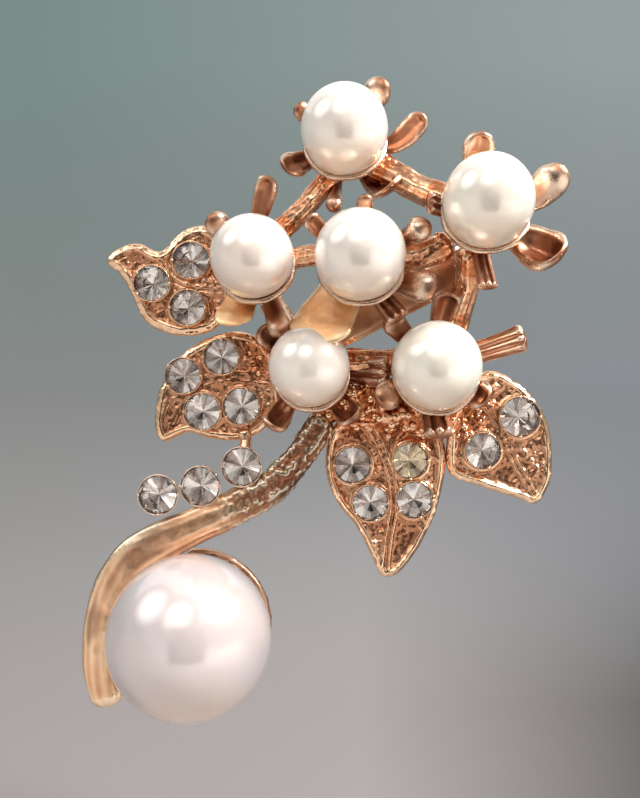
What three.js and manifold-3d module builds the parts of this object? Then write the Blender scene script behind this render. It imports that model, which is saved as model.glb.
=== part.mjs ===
// A floral spray brooch: six small pearls in sepal cups, four stone-set leaves, a curled stem with
// a row of three stones and one large pearl, and a bar pin with a locking catch on the back.
// Units are millimetres. +X is to the wearer's left, +Z is up, and the front faces -Y.
// The origin is where the stem enters the spray, in the plane of the pin bar's back.

import * as THREE from 'three';
import { mergeVertices } from 'three/addons/utils/BufferGeometryUtils.js';
import Module from 'manifold-3d';

const wasm = await Module();
wasm.setup();

// Driving dimensions.

const SOLDER_GAP = 0.06;
const DISH_WALL = 0.65;
const DISH_OPENING_DEG = 50;
const PEG_RADIUS = 0.45;
const PEG_FIT = 0.08;
const PEG_DEPTH_SHARE = 0.6;
const PETAL_HALF_THICKNESS = 0.36;
const ROUND_SIDES = 12;

const FLOWERS = [
  { name: 'top', at: [2.2, -5.6, 24.5], radius: 4.0, petals: [
    [202, 6.1, 1.25], [140, 5.4, 0.9], [57, 6.9, 1.1], [20, 7.6, 1.0], [-42, 6.3, 1.3], [263, 6.1, 0.85],
  ] },
  { name: 'right', at: [14.5, -9.3, 17.1], radius: 4.0, petals: [
    [92, 6.6, 1.35], [31, 7.9, 1.3], [-39, 7.8, 1.5], [-82, 6.4, 1.0], [178, 5.0, 1.1],
  ] },
  { name: 'left', at: [-6.15, -6.0, 12.9], radius: 3.8, petals: [
    [126, 5.3, 1.1], [80, 7.6, 1.0], [250, 5.3, 1.5], [-68, 7.2, 1.2],
  ] },
  { name: 'centre', at: [3.5, -8.5, 12.6], radius: 4.0, petals: [
    [84, 5.4, 0.75], [138, 5.7, 0.8], [34, 7.1, 1.1], [-12, 6.4, 1.2], [240, 7.2, 1.8], [-62, 5.4, 1.2],
  ] },
  { name: 'lower_left', at: [-1.0, -5.1, 3.0], radius: 3.75, petals: [
    [-4, 7.0, 1.7], [252, 6.0, 1.1], [-47, 5.8, 1.2], [142, 5.6, 1.2], [78, 5.0, 1.0],
  ] },
  { name: 'lower_right', at: [10.4, -7.1, 2.95], radius: 4.0, petals: [
    [136, 5.9, 1.1], [79, 6.3, 1.2], [18, 8.4, 1.3], [-32, 5.5, 1.3], [-86, 6.1, 1.4], [212, 5.4, 1.3],
  ] },
];

const TWIGS = [
  { name: 'left_to_top', path: [[-4.6, -2.4, 15.0], [-1.6, -2.4, 18.0], [1.4, -2.2, 21.6]], radius: 0.95 },
  { name: 'top_to_right', path: [[4.6, -2.6, 22.6], [8.4, -3.6, 20.0], [12.2, -4.9, 18.0]], radius: 1.2 },
  { name: 'right_to_centre', path: [[12.2, -4.7, 14.6], [9.4, -4.2, 13.4], [6.4, -4.2, 12.9]], radius: 1.2 },
  { name: 'right_to_lower', path: [[14.0, -4.6, 14.0], [13.6, -2.6, 9.8], [12.2, -2.5, 5.6]], radius: 1.15 },
  { name: 'left_to_lower', path: [[-5.2, -2.0, 9.8], [-3.6, -1.7, 7.6], [-2.2, -1.5, 5.6]], radius: 1.0 },
  { name: 'left_to_centre', path: [[-3.4, -3.2, 13.0], [-0.8, -3.8, 13.3], [1.2, -4.5, 13.0]], radius: 0.9 },
  { name: 'lower_pair', path: [[1.9, -1.6, 3.6], [4.8, -2.1, 3.5], [8.0, -3.0, 3.3]], radius: 1.1 },
];

const HUB = { path: [[-0.6, -1.2, -0.3], [3.6, -1.7, -0.6], [8.0, -2.1, -0.8], [12.0, -2.3, -1.4]],
  widths: [1.3, 1.9, 2.0, 1.5], depths: [0.75, 1.0, 1.0, 0.9] };

const LARGE_PEARL = { at: [-12.0, -5.0, -21.8], radius: 7.5 };

const STEM_PATH = [
  [0.4, -1.5, -1.4], [-1.5, -1.8, -4.4], [-4.3, -2.0, -7.5], [-6.6, -2.2, -9.3], [-9.0, -2.3, -10.7],
  [-11.9, -2.4, -12.0], [-14.7, -2.5, -13.3], [-17.3, -2.7, -14.9], [-19.2, -2.9, -17.3],
  [-20.2, -3.0, -20.0], [-20.6, -3.0, -23.2], [-20.4, -3.0, -26.0], [-19.7, -3.0, -28.9],
];
const STEM_WIDTHS = [1.2, 1.3, 1.5, 1.5, 1.45, 1.45, 1.65, 1.75, 1.65, 1.55, 1.5, 1.5, 1.2];
const STEM_HALF_DEPTH = 1.15;

const ROW = { radius: 1.95, wall: 0.22, height: 1.9, places: [
  [-15.2, -3.4, -9.0], [-11.25, -3.3, -8.2], [-7.4, -3.1, -6.4],
] };

const LEAVES = [
  { name: 'left_upper', front: -2.1, back: -0.9, tip: [-20.2, 13.3], root: [-8.4, 11.4],
    upper: [[-18.9, 14.5], [-17.3, 14.7], [-15.4, 14.2], [-13.2, 16.1], [-10.6, 16.5]],
    lower: [[-10.2, 7.0], [-13.2, 6.3], [-15.9, 7.4], [-17.6, 9.8], [-18.8, 12.0]],
    stones: [[-12.3, 13.2, 1.7], [-16.0, 11.0, 1.65], [-12.6, 8.7, 1.65]] },
  { name: 'left_lower', front: -2.2, back: -0.6, tip: [-15.0, -3.9], root: [-4.9, 0.4],
    upper: [[-15.7, -2.0], [-15.3, 0.9], [-13.4, 4.1], [-10.6, 5.9], [-7.6, 6.4]],
    lower: [[-5.4, -2.4], [-7.2, -3.7], [-10.4, -3.8], [-13.2, -3.2]],
    stones: [[-9.4, 4.0, 1.65], [-13.0, 2.2, 1.65], [-11.2, -1.2, 1.7], [-7.5, -0.7, 1.7]] },
  { name: 'bottom', front: -2.2, back: -0.5, tip: [6.3, -17.0], root: [6.2, -1.2],
    upper: [[5.2, -15.4], [3.6, -12.4], [1.6, -9.8], [0.6, -7.0], [0.9, -3.6], [2.6, -1.5]],
    lower: [[10.2, -1.6], [11.8, -3.8], [12.0, -6.8], [11.2, -10.4], [9.6, -14.0], [7.8, -16.4]],
    stones: [[3.1, -6.3, 1.7], [4.8, -9.9, 1.65], [8.6, -5.9, 1.65], [9.0, -9.6, 1.7]] },
  { name: 'right', front: -2.6, back: -1.0, tip: [20.5, -9.9], root: [12.7, -0.9],
    upper: [[21.8, -8.4], [22.1, -5.2], [21.5, -1.8], [19.3, 1.2], [15.8, 2.5]],
    lower: [[12.3, -4.0], [12.5, -7.0], [15.2, -8.3], [18.7, -9.4]],
    stones: [[18.9, -1.7, 1.85], [15.4, -4.9, 1.65]] },
];
const LEAF_RIM = { width: 0.6, height: 0.45 };
const STONE_LIFT = 0.25;
const COLLAR_WALL = 0.24;
const STONE_SIDES = 10;

const CRESCENT = { radius: 6.7, y: -0.4, from: 98, to: -12, halfWidth: 0.55, halfDepth: 0.45,
  stones: 6, firstStone: 76, lastStone: 4, stoneRadius: 0.5 };

const PIN_TILT_DEG = 27;
const PIN_BAR = { centre: [6.8, 9.2], from: -7.2, to: 9.6, halfWidth: 1.7, thickness: 1.0,
  padFrom: 6.9, padTop: 3.5 };
const PIN_HINGE = [13.5, 2.5, 14.8];
const PIN_REACH = 26.0;
const PIN_RADIUS = 0.38;
const KNUCKLE = { radius: 0.85, length: 1.0, hole: 0.33 };
const RIVET_RADIUS = 0.27;
const EAR = { thickness: 0.6, halfWidth: 1.1, gap: 0.08 };
const CATCH = { distance: 24.2, bore: 1.32, wall: 0.6, slot: 1.7, length: 1.6 };
const LOCK = { radius: 1.24, bore: 0.6, slot: 1.1, length: 2.5, tabReach: 2.9, tabHalf: 0.35 };

// Colours of the separate materials.

const ROSE_GOLD = { color: 0xb9714a, roughness: 0.32, metalness: 1.0 };
const SATIN_GOLD = { color: 0xc58a58, roughness: 0.42, metalness: 1.0 };
const PEARL = { color: 0xece4dc, roughness: 0.18, metalness: 0.0 };
const STONE = { color: 0xf1efec, roughness: 0.03, metalness: 0.1 };
const STEEL = { color: 0x7e7f82, roughness: 0.3, metalness: 1.0 };

const FRONT = new THREE.Vector3(0, -1, 0);
const BACK = new THREE.Vector3(0, 1, 0);
const TILT = THREE.MathUtils.degToRad(PIN_TILT_DEG);
const ALONG = new THREE.Vector3(Math.cos(TILT), 0, Math.sin(TILT));
const ACROSS = new THREE.Vector3(-Math.sin(TILT), 0, Math.cos(TILT));

const brooch = new THREE.Group();
brooch.name = 'brooch';

// Solids: closed geometry in, a cut or joined geometry out.

function toSolid(geometry) {
  const bare = geometry.clone();
  for (const name of Object.keys(bare.attributes)) {
    if (name !== 'position') bare.deleteAttribute(name);
  }
  const merged = mergeVertices(bare, 1e-4);
  const corners = merged.index.array;
  const kept = [];
  for (let i = 0; i < corners.length; i += 3) {
    const [a, b, c] = [corners[i], corners[i + 1], corners[i + 2]];
    if (a !== b && b !== c && c !== a) kept.push(a, b, c);
  }
  const vertProperties = new Float32Array(merged.attributes.position.array);
  return new wasm.Manifold(new wasm.Mesh({ numProp: 3, vertProperties, triVerts: new Uint32Array(kept) }));
}

function toGeometry(solid) {
  const mesh = solid.getMesh();
  const geometry = new THREE.BufferGeometry();
  geometry.setAttribute('position', new THREE.BufferAttribute(new Float32Array(mesh.vertProperties), 3));
  geometry.setIndex(new THREE.BufferAttribute(new Uint32Array(mesh.triVerts), 1));
  geometry.computeVertexNormals();
  return geometry;
}

function joined(solids) {
  return solids.reduce((whole, next) => whole.add(next));
}

function cutBy(solid, tools) {
  return tools.reduce((rest, tool) => rest.subtract(tool), solid);
}

function addPart(name, solid, finish) {
  const mesh = new THREE.Mesh(toGeometry(solid), new THREE.MeshStandardMaterial(finish));
  mesh.name = name;
  brooch.add(mesh);
}

// A matrix that puts local +Z on an axis, and the local origin at a point.
function stand(point, axis) {
  const turn = new THREE.Quaternion().setFromUnitVectors(new THREE.Vector3(0, 0, 1), axis.clone().normalize());
  return new THREE.Matrix4().compose(new THREE.Vector3(...point), turn, new THREE.Vector3(1, 1, 1));
}

// A body of revolution from [radius, height] pairs that run up the outside, turned about an axis.
function lathe(profile, point, axis, segments) {
  const points = profile.map(([radius, height]) => new THREE.Vector2(radius, height));
  const geometry = new THREE.LatheGeometry(points, segments);
  geometry.rotateX(Math.PI / 2);
  geometry.applyMatrix4(stand(point, axis));
  return toSolid(geometry);
}

function between(list, share) {
  const place = Math.min(Math.max(share, 0), 1) * (list.length - 1);
  const low = Math.min(Math.floor(place), list.length - 2);
  return THREE.MathUtils.lerp(list[low], list[low + 1], place - low);
}

// A tapering bar with an oval section along a smooth path. The section's depth faces the front.
function bar({ path, widths, depths, steps, sides }, grow = 0) {
  const curve = new THREE.CatmullRomCurve3(path.map((point) => new THREE.Vector3(...point)));
  const positions = [];
  const push = (point) => positions.push(point.x, point.y, point.z);
  const ends = [];
  for (let i = 0; i <= steps; i += 1) {
    const share = i / steps;
    const centre = curve.getPointAt(share);
    const tangent = curve.getTangentAt(share);
    if (i === 0) centre.addScaledVector(tangent, -grow);
    if (i === steps) centre.addScaledVector(tangent, grow);
    const depthways = FRONT.clone().addScaledVector(tangent, -FRONT.dot(tangent)).normalize();
    const sideways = new THREE.Vector3().crossVectors(tangent, depthways);
    for (let k = 0; k < sides; k += 1) {
      const angle = (2 * Math.PI * k) / sides;
      const point = centre.clone();
      point.addScaledVector(sideways, (between(widths, share) + grow) * Math.cos(angle));
      point.addScaledVector(depthways, (between(depths, share) + grow) * Math.sin(angle));
      push(point);
    }
    if (i === 0 || i === steps) ends.push(centre);
  }
  ends.forEach(push);
  const index = [];
  for (let i = 0; i < steps; i += 1) {
    for (let k = 0; k < sides; k += 1) {
      const a = i * sides + k;
      const b = i * sides + ((k + 1) % sides);
      index.push(a, b + sides, b, a, a + sides, b + sides);
    }
  }
  const first = (steps + 1) * sides;
  for (let k = 0; k < sides; k += 1) {
    const next = (k + 1) % sides;
    index.push(first, k, next);
    index.push(first + 1, steps * sides + next, steps * sides + k);
  }
  const geometry = new THREE.BufferGeometry();
  geometry.setAttribute('position', new THREE.Float32BufferAttribute(positions, 3));
  geometry.setIndex(index);
  return toSolid(geometry);
}

// Pearls and the cups that carry them.

function sphereArc(radius, fromDeg, toDeg, steps) {
  const arc = [];
  for (let i = 0; i <= steps; i += 1) {
    const angle = THREE.MathUtils.degToRad(fromDeg + ((toDeg - fromDeg) * i) / steps);
    arc.push([radius * Math.sin(angle), -radius * Math.cos(angle)]);
  }
  return arc;
}

// A pearl with a blind hole drilled from the back for its peg.
function drilledPearl({ at, radius }, segments) {
  const hole = PEG_RADIUS + PEG_FIT;
  const lipDeg = THREE.MathUtils.radToDeg(Math.asin(hole / radius));
  const bottom = -radius * (1 - PEG_DEPTH_SHARE) + 2 * PEG_FIT;
  const skin = sphereArc(radius, lipDeg, 180, Math.round(segments * 0.6));
  skin[skin.length - 1][0] = 0;
  return lathe([[0, bottom], [hole, bottom], ...skin], at, FRONT, segments);
}

function pearlSpace({ at, radius }, grow, segments) {
  const skin = sphereArc(radius + grow, 0, 180, Math.round(segments * 0.6));
  skin[0][0] = 0;
  skin[skin.length - 1][0] = 0;
  return lathe(skin, at, FRONT, segments);
}

function dish({ at, radius }, grow, segments) {
  const inner = radius + SOLDER_GAP - grow;
  const outer = radius + SOLDER_GAP + DISH_WALL + grow;
  const outside = sphereArc(outer, 0, DISH_OPENING_DEG, 3);
  const inside = sphereArc(inner, 0, DISH_OPENING_DEG, 3).reverse();
  outside[0][0] = 0;
  inside[inside.length - 1][0] = 0;
  return lathe([...outside, ...inside], at, FRONT, segments);
}

function peg({ at, radius }) {
  const top = -radius * (1 - PEG_DEPTH_SHARE);
  const foot = -radius - SOLDER_GAP - DISH_WALL / 2;
  return lathe([[0, foot], [PEG_RADIUS, foot], [PEG_RADIUS, top], [0, top]], at, FRONT, 10);
}

function petal({ at, radius }, [angleDeg, reach, halfWidth], grow) {
  const angle = THREE.MathUtils.degToRad(angleDeg);
  const out = new THREE.Vector3(Math.cos(angle), 0, Math.sin(angle));
  const centre = new THREE.Vector3(...at);
  const place = (share, behind) => centre.clone().addScaledVector(out, reach * share)
    .addScaledVector(BACK, behind).toArray();
  return bar({
    path: [place(0.24, radius + 0.25), place(0.62, radius * 0.8), place(1, radius * 0.32)],
    widths: [0.6, 0.9, 1, 0.85, 0.3].map((share) => share * halfWidth),
    depths: [1, 1, 1, 0.9, 0.5].map((share) => share * PETAL_HALF_THICKNESS),
    steps: 4,
    sides: 6,
  }, grow);
}

function flowerCup(flower, grow = 0) {
  const petals = flower.petals.map((spec) => petal(flower, spec, grow));
  const whole = joined([dish(flower, grow, ROUND_SIDES), ...petals]);
  if (grow > 0) return whole;
  const open = whole.subtract(pearlSpace(flower, SOLDER_GAP, ROUND_SIDES));
  return open.add(peg(flower));
}

// Stones: a faceted crown on a pointed pavilion, with the girdle at the local origin.

function stone(point, normal, radius) {
  return lathe([
    [0, -0.9 * radius], [0.2 * radius, -0.9 * radius], [radius, -0.05 * radius],
    [radius, 0.05 * radius], [0.6 * radius, 0.38 * radius], [0, 0.38 * radius],
  ], point, normal, STONE_SIDES);
}

// The room that a stone needs in its seat: its own shape, open towards the front.
function stoneSeat(point, normal, radius) {
  const wide = radius + SOLDER_GAP;
  const deep = -0.9 * radius - SOLDER_GAP;
  return lathe([
    [0, deep], [0.2 * radius + SOLDER_GAP, deep], [wide, -0.05 * radius - SOLDER_GAP], [wide, 2], [0, 2],
  ], point, normal, STONE_SIDES);
}

function rowCup(point, grow = 0) {
  const outer = ROW.radius + SOLDER_GAP + ROW.wall + grow;
  const foot = 0.45 * outer;
  const rim = 0.15 + grow;
  const low = -ROW.height - grow;
  const cup = lathe([[0, low], [foot, low], [outer, -0.55 * ROW.height], [outer, rim], [0, rim]], point, FRONT, STONE_SIDES);
  return grow > 0 ? cup : cup.subtract(stoneSeat(point, FRONT, ROW.radius));
}

// A leaf: a flat plate, a raised rim round its edge and a collar for each stone.

function leafOutline({ tip, root, upper, lower }) {
  const outline = new THREE.Shape();
  outline.moveTo(...tip);
  outline.splineThru([...upper, root].map(([x, z]) => new THREE.Vector2(x, z)));
  outline.splineThru([...lower, tip].map(([x, z]) => new THREE.Vector2(x, z)));
  return outline;
}

// Extrudes an outline in X and Z from its back plane to its front plane.
function slab(outline, back, front, curveSegments) {
  const geometry = new THREE.ExtrudeGeometry(outline, { depth: back - front, bevelEnabled: false, curveSegments });
  geometry.rotateX(Math.PI / 2);
  geometry.translate(0, back, 0);
  return toSolid(geometry);
}

function shrunk(points, centre, width) {
  return points.map(([x, z]) => {
    const reach = Math.hypot(x - centre[0], z - centre[1]);
    const share = (reach - width) / reach;
    return [centre[0] + (x - centre[0]) * share, centre[1] + (z - centre[1]) * share];
  });
}

function leafPlate(leaf, grow = 0) {
  const corners = [leaf.tip, leaf.root, ...leaf.upper, ...leaf.lower];
  const mean = (axis) => corners.reduce((sum, point) => sum + point[axis], 0) / corners.length;
  const centre = [mean(0), mean(1)];
  const sized = (width) => leafOutline({
    tip: shrunk([leaf.tip], centre, width)[0],
    root: shrunk([leaf.root], centre, width)[0],
    upper: shrunk(leaf.upper, centre, width),
    lower: shrunk(leaf.lower, centre, width),
  });
  const plate = slab(sized(-grow), leaf.back + grow, leaf.front - LEAF_RIM.height - grow, 3);
  if (grow > 0) return plate;
  const field = slab(sized(LEAF_RIM.width), leaf.front, leaf.front - 2, 3);
  return plate.subtract(field);
}

function stonePoint(leaf, [x, z]) {
  return [x, leaf.front - STONE_LIFT, z];
}

function collar(point, radius) {
  const outer = radius + SOLDER_GAP + COLLAR_WALL;
  return lathe([[0, -0.6], [outer, -0.6], [outer, 0.12], [0, 0.12]], point, FRONT, STONE_SIDES);
}

function leafSolid(leaf) {
  const collars = leaf.stones.map((spec) => collar(stonePoint(leaf, spec), spec[2]));
  const seats = leaf.stones.map((spec) => stoneSeat(stonePoint(leaf, spec), FRONT, spec[2]));
  return cutBy(joined([leafPlate(leaf), ...collars]), seats);
}

// The crescent of small stones beside the large pearl.

function crescentPoint(angleDeg) {
  const angle = THREE.MathUtils.degToRad(angleDeg);
  const [x, , z] = LARGE_PEARL.at;
  return [x + CRESCENT.radius * Math.cos(angle), CRESCENT.y, z + CRESCENT.radius * Math.sin(angle)];
}

function crescentBar(grow = 0) {
  const path = [];
  for (let i = 0; i <= 8; i += 1) {
    path.push(crescentPoint(CRESCENT.from + ((CRESCENT.to - CRESCENT.from) * i) / 8));
  }
  const widths = [0.9, 1, 1, 1, 0.6].map((share) => share * CRESCENT.halfWidth);
  return bar({ path, widths, depths: [CRESCENT.halfDepth, CRESCENT.halfDepth], steps: 10, sides: 6 }, grow);
}

function crescentStonePlaces() {
  const places = [];
  for (let i = 0; i < CRESCENT.stones; i += 1) {
    const share = i / (CRESCENT.stones - 1);
    const angle = THREE.MathUtils.lerp(CRESCENT.firstStone, CRESCENT.lastStone, share);
    const [x, y, z] = crescentPoint(angle);
    const out = THREE.MathUtils.degToRad(angle);
    const normal = new THREE.Vector3(Math.cos(out), -1, Math.sin(out)).normalize();
    const rise = CRESCENT.halfDepth * 0.75;
    places.push({ point: [x + normal.x * rise, y + normal.y * rise, z + normal.z * rise], normal });
  }
  return places;
}

// Pin, hinge and catch. Positions along the pin line are measured from the hinge.

function pinPoint(along, across = 0, behind = 0) {
  const [x, y, z] = PIN_HINGE;
  return new THREE.Vector3(x, y + behind, z).addScaledVector(ALONG, along).addScaledVector(ACROSS, across);
}

// A block lined up with the pin: sizes are along the pin, across it and front to back.
function pinBlock(centre, along, across, deep) {
  const geometry = new THREE.BoxGeometry(along, deep, across);
  geometry.rotateY(-TILT);
  geometry.translate(centre.x, centre.y, centre.z);
  return toSolid(geometry);
}

function pinRod(radius, length, centre, axis, segments) {
  const half = length / 2;
  const profile = [[0, -half], [radius, -half], [radius, half], [0, half]];
  return lathe(profile, centre.toArray(), axis, segments);
}

function pinBar() {
  const [x, z] = PIN_BAR.centre;
  const length = PIN_BAR.to - PIN_BAR.from;
  const middle = (PIN_BAR.to + PIN_BAR.from) / 2;
  const depth = -PIN_BAR.thickness / 2;
  const place = (along, across) => new THREE.Vector3(x, depth, z).addScaledVector(ALONG, along)
    .addScaledVector(ACROSS, across);
  const strip = pinBlock(place(middle, 0), length, 2 * PIN_BAR.halfWidth, PIN_BAR.thickness);
  const padLength = PIN_BAR.to - PIN_BAR.padFrom;
  const padHeight = PIN_BAR.padTop;
  const padMiddle = (PIN_BAR.to + PIN_BAR.padFrom) / 2;
  const pad = pinBlock(place(padMiddle, padHeight / 2), padLength, padHeight, PIN_BAR.thickness);
  return strip.add(pad);
}

function pinJoint() {
  const earCentre = KNUCKLE.length / 2 + EAR.gap + EAR.thickness / 2;
  const bottom = SOLDER_GAP;
  const top = PIN_HINGE[1] + EAR.halfWidth * 0.9;
  const deep = top - bottom;
  const ears = [-1, 1].map((side) => pinBlock(
    pinPoint(0, side * earCentre, bottom + deep / 2 - PIN_HINGE[1]), 2 * EAR.halfWidth, EAR.thickness, deep));
  const baseAcross = 2 * earCentre + EAR.thickness;
  const base = pinBlock(pinPoint(0, 0, bottom + 0.3 - PIN_HINGE[1]), 2 * EAR.halfWidth, baseAcross, 0.6);
  const hole = pinRod(RIVET_RADIUS + 0.03, 2 * baseAcross, pinPoint(0), ACROSS, 12);
  return joined([...ears, base]).subtract(hole);
}

function rivet() {
  const length = KNUCKLE.length + 2 * (EAR.gap + EAR.thickness);
  const shank = pinRod(RIVET_RADIUS, length + 0.5, pinPoint(0), ACROSS, 12);
  const heads = [-1, 1].map((side) => pinRod(0.5, 0.24, pinPoint(0, side * (length / 2 + 0.18)), ACROSS, 12));
  return joined([shank, ...heads]);
}

function pinStem() {
  const knuckle = pinRod(KNUCKLE.radius, KNUCKLE.length, pinPoint(0), ACROSS, 16);
  const rod = lathe([
    [0, 0], [PIN_RADIUS, 0], [PIN_RADIUS, PIN_REACH * 0.86], [0.08, PIN_REACH], [0, PIN_REACH],
  ], pinPoint(0).toArray(), ALONG.clone().negate(), 8);
  const hole = pinRod(KNUCKLE.hole, 2 * KNUCKLE.length, pinPoint(0), ACROSS, 12);
  return knuckle.add(rod).subtract(hole);
}

function pinCatch(leafBack) {
  const centre = pinPoint(-CATCH.distance);
  const outer = CATCH.bore + CATCH.wall;
  const shell = pinRod(outer, CATCH.length, centre, ALONG, 20);
  const bore = pinRod(CATCH.bore, 2 * CATCH.length, centre, ALONG, 20);
  const mouth = pinBlock(pinPoint(-CATCH.distance, 0, outer), 2 * CATCH.length, CATCH.slot, 2 * outer);
  const floor = leafBack + SOLDER_GAP;
  const deep = PIN_HINGE[1] - CATCH.bore - floor;
  const foot = pinBlock(pinPoint(-CATCH.distance, 0, floor + deep / 2 - PIN_HINGE[1]), CATCH.length, 2.6, deep);
  return cutBy(shell.add(foot), [bore, mouth]);
}

function catchLock() {
  const centre = pinPoint(-CATCH.distance - 0.35);
  const sleeve = pinRod(LOCK.radius, LOCK.length, centre, ALONG, 20);
  const endFace = -CATCH.distance - CATCH.length / 2 - 0.1;
  const tabLength = CATCH.distance + 0.35 + LOCK.length / 2 + endFace;
  const tabMiddle = endFace - tabLength / 2;
  const inner = 0.8;
  const tab = pinBlock(
    pinPoint(tabMiddle, -(LOCK.tabReach + inner) / 2), tabLength, LOCK.tabReach - inner, 2 * LOCK.tabHalf);
  const bore = pinRod(LOCK.bore, 2 * LOCK.length, centre, ALONG, 16);
  const mouth = pinBlock(pinPoint(-CATCH.distance, 0, LOCK.radius), 3 * LOCK.length, LOCK.slot, 2 * LOCK.radius);
  return cutBy(sleeve.add(tab), [bore, mouth]);
}

// The large pearl's seat: a dish behind it with a peg, and an arm to the curl of the stem.

function pearlSeat(grow = 0) {
  const arm = bar({
    path: [[-13.4, 2.75, -22.6], [-16.6, 1.7, -24.2], [-18.8, -1.0, -25.2]],
    widths: [1.2, 1.1, 1.0], depths: [0.4, 0.5, 0.6], steps: 5, sides: 8,
  }, grow);
  const round = { at: LARGE_PEARL.at, radius: LARGE_PEARL.radius };
  const outer = round.radius + SOLDER_GAP + 0.7 + grow;
  const pad = sphereArc(outer, 0, 26, 3);
  const inside = sphereArc(round.radius + SOLDER_GAP, 0, 26, 3).reverse();
  pad[0][0] = 0;
  inside[inside.length - 1][0] = 0;
  const disc = lathe([...pad, ...inside], round.at, FRONT, ROUND_SIDES);
  return grow > 0 ? disc.add(arm) : joined([disc, arm, peg(round)]);
}

function twigSolid({ path, radius }, grow = 0) {
  return bar({ path, widths: [radius, radius * 0.85, radius], depths: [radius * 0.8, radius * 0.8],
    steps: 6, sides: 8 }, grow);
}

// Assembly. Each cast piece is fitted to the ones that are already there.

const stemBar = { path: STEM_PATH, widths: STEM_WIDTHS, depths: [STEM_HALF_DEPTH, STEM_HALF_DEPTH],
  steps: 26, sides: 10 };
const cupSpaces = FLOWERS.map((flower) => flowerCup(flower, SOLDER_GAP));
const pearlSpaces = FLOWERS.map((flower) => pearlSpace(flower, SOLDER_GAP, ROUND_SIDES));

FLOWERS.forEach((flower, i) => {
  addPart(`pearl_${flower.name}`, drilledPearl(flower, ROUND_SIDES), PEARL);
  const others = [...cupSpaces.slice(0, i), ...pearlSpaces.filter((_, k) => k !== i)];
  addPart(`cup_${flower.name}`, cutBy(flowerCup(flower), others), ROSE_GOLD);
});

const twigSpaces = [];
for (const twig of TWIGS) {
  addPart(`twig_${twig.name}`, cutBy(twigSolid(twig), [...cupSpaces, ...pearlSpaces, ...twigSpaces]), ROSE_GOLD);
  twigSpaces.push(twigSolid(twig, SOLDER_GAP));
}

const hubBar = { ...HUB, steps: 10, sides: 10 };
const sprig = [...cupSpaces, ...pearlSpaces, ...twigSpaces];
addPart('fork_nugget', cutBy(bar(hubBar), sprig), ROSE_GOLD);
sprig.push(bar(hubBar, SOLDER_GAP));

const rowSpaces = ROW.places.map((point) => rowCup(point, SOLDER_GAP));
ROW.places.forEach((point, i) => {
  addPart(`row_cup_${i + 1}`, cutBy(rowCup(point), rowSpaces.slice(0, i)), SATIN_GOLD);
  addPart(`row_stone_${i + 1}`, stone(point, FRONT, ROW.radius), STONE);
});

const bigPearlSpace = pearlSpace(LARGE_PEARL, SOLDER_GAP, 24);
const seatSpace = pearlSeat(SOLDER_GAP);
const stemSpace = bar(stemBar, SOLDER_GAP);
addPart('pearl_large', drilledPearl(LARGE_PEARL, 24), PEARL);
addPart('pearl_seat', pearlSeat(), SATIN_GOLD);
addPart('main_stem', cutBy(bar(stemBar), [...sprig, ...rowSpaces, bigPearlSpace, seatSpace]), SATIN_GOLD);

for (const leaf of LEAVES) {
  const solid = cutBy(leafSolid(leaf), [...sprig, ...rowSpaces, stemSpace]);
  addPart(`leaf_${leaf.name}`, solid, ROSE_GOLD);
  leaf.stones.forEach((spec, i) => {
    addPart(`leaf_${leaf.name}_stone_${i + 1}`, stone(stonePoint(leaf, spec), FRONT, spec[2]), STONE);
  });
}

const smallStones = crescentStonePlaces();
const smallSeats = smallStones.map(({ point, normal }) => stoneSeat(point, normal, CRESCENT.stoneRadius));
addPart('crescent_bar', cutBy(crescentBar(), [stemSpace, ...smallSeats]), ROSE_GOLD);
smallStones.forEach(({ point, normal }, i) => {
  addPart(`crescent_stone_${i + 1}`, stone(point, normal, CRESCENT.stoneRadius), STONE);
});

const catchLeaf = LEAVES.find((leaf) => leaf.name === 'left_lower');
addPart('pin_bar', cutBy(pinBar(), sprig), SATIN_GOLD);
addPart('pin_joint', pinJoint(), STEEL);
addPart('pin_rivet', rivet(), STEEL);
addPart('pin_stem', pinStem(), STEEL);
addPart('pin_catch', pinCatch(catchLeaf.back), STEEL);
addPart('catch_lock', catchLock(), STEEL);

export default brooch;
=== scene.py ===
"""A rose-gold spray brooch with seven drilled pearls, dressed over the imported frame."""

import logging
import math
from dataclasses import dataclass, field
from enum import Enum
from typing import Callable, Optional, Sequence

import bpy
import numpy as np
from mathutils import Matrix, Vector
from mathutils.geometry import delaunay_2d_cdt


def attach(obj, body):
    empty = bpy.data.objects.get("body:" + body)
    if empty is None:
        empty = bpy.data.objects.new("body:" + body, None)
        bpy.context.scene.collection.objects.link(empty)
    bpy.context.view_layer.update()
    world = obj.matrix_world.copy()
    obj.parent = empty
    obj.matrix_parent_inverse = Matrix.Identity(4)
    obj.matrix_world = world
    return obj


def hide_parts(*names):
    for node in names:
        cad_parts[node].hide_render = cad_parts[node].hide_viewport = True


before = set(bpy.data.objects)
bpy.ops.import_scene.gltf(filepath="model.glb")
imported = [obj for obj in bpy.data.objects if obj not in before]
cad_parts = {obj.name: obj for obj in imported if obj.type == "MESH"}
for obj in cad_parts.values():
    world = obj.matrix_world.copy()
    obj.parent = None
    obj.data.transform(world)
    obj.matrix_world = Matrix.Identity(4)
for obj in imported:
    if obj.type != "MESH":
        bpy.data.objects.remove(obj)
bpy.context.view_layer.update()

LOG = logging.getLogger("brooch")
MM = 0.001
SOLDER_GAP = 0.06
AXIS_HOLE = 0.002
LARGE_PEARL_AT = (-12.0, -5.0, -21.8)
LARGE_PEARL_RADIUS = 7.5
SKIN_SEED = 11
GRAIN_ATTRIBUTE = "grainy"
RELIEF_ATTRIBUTE = "relief"
FACET_ATTRIBUTE = "facet_shine"
# Marks pearl undersides, where the nacre paints a warm reflection of the gold below.
WARM_BOUNCE_ATTRIBUTE = "warm_bounce"

Rows = Sequence[Sequence[float]]
Colour = tuple[float, float, float, float]


# ---------------------------------------------------------------- shapes


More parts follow.
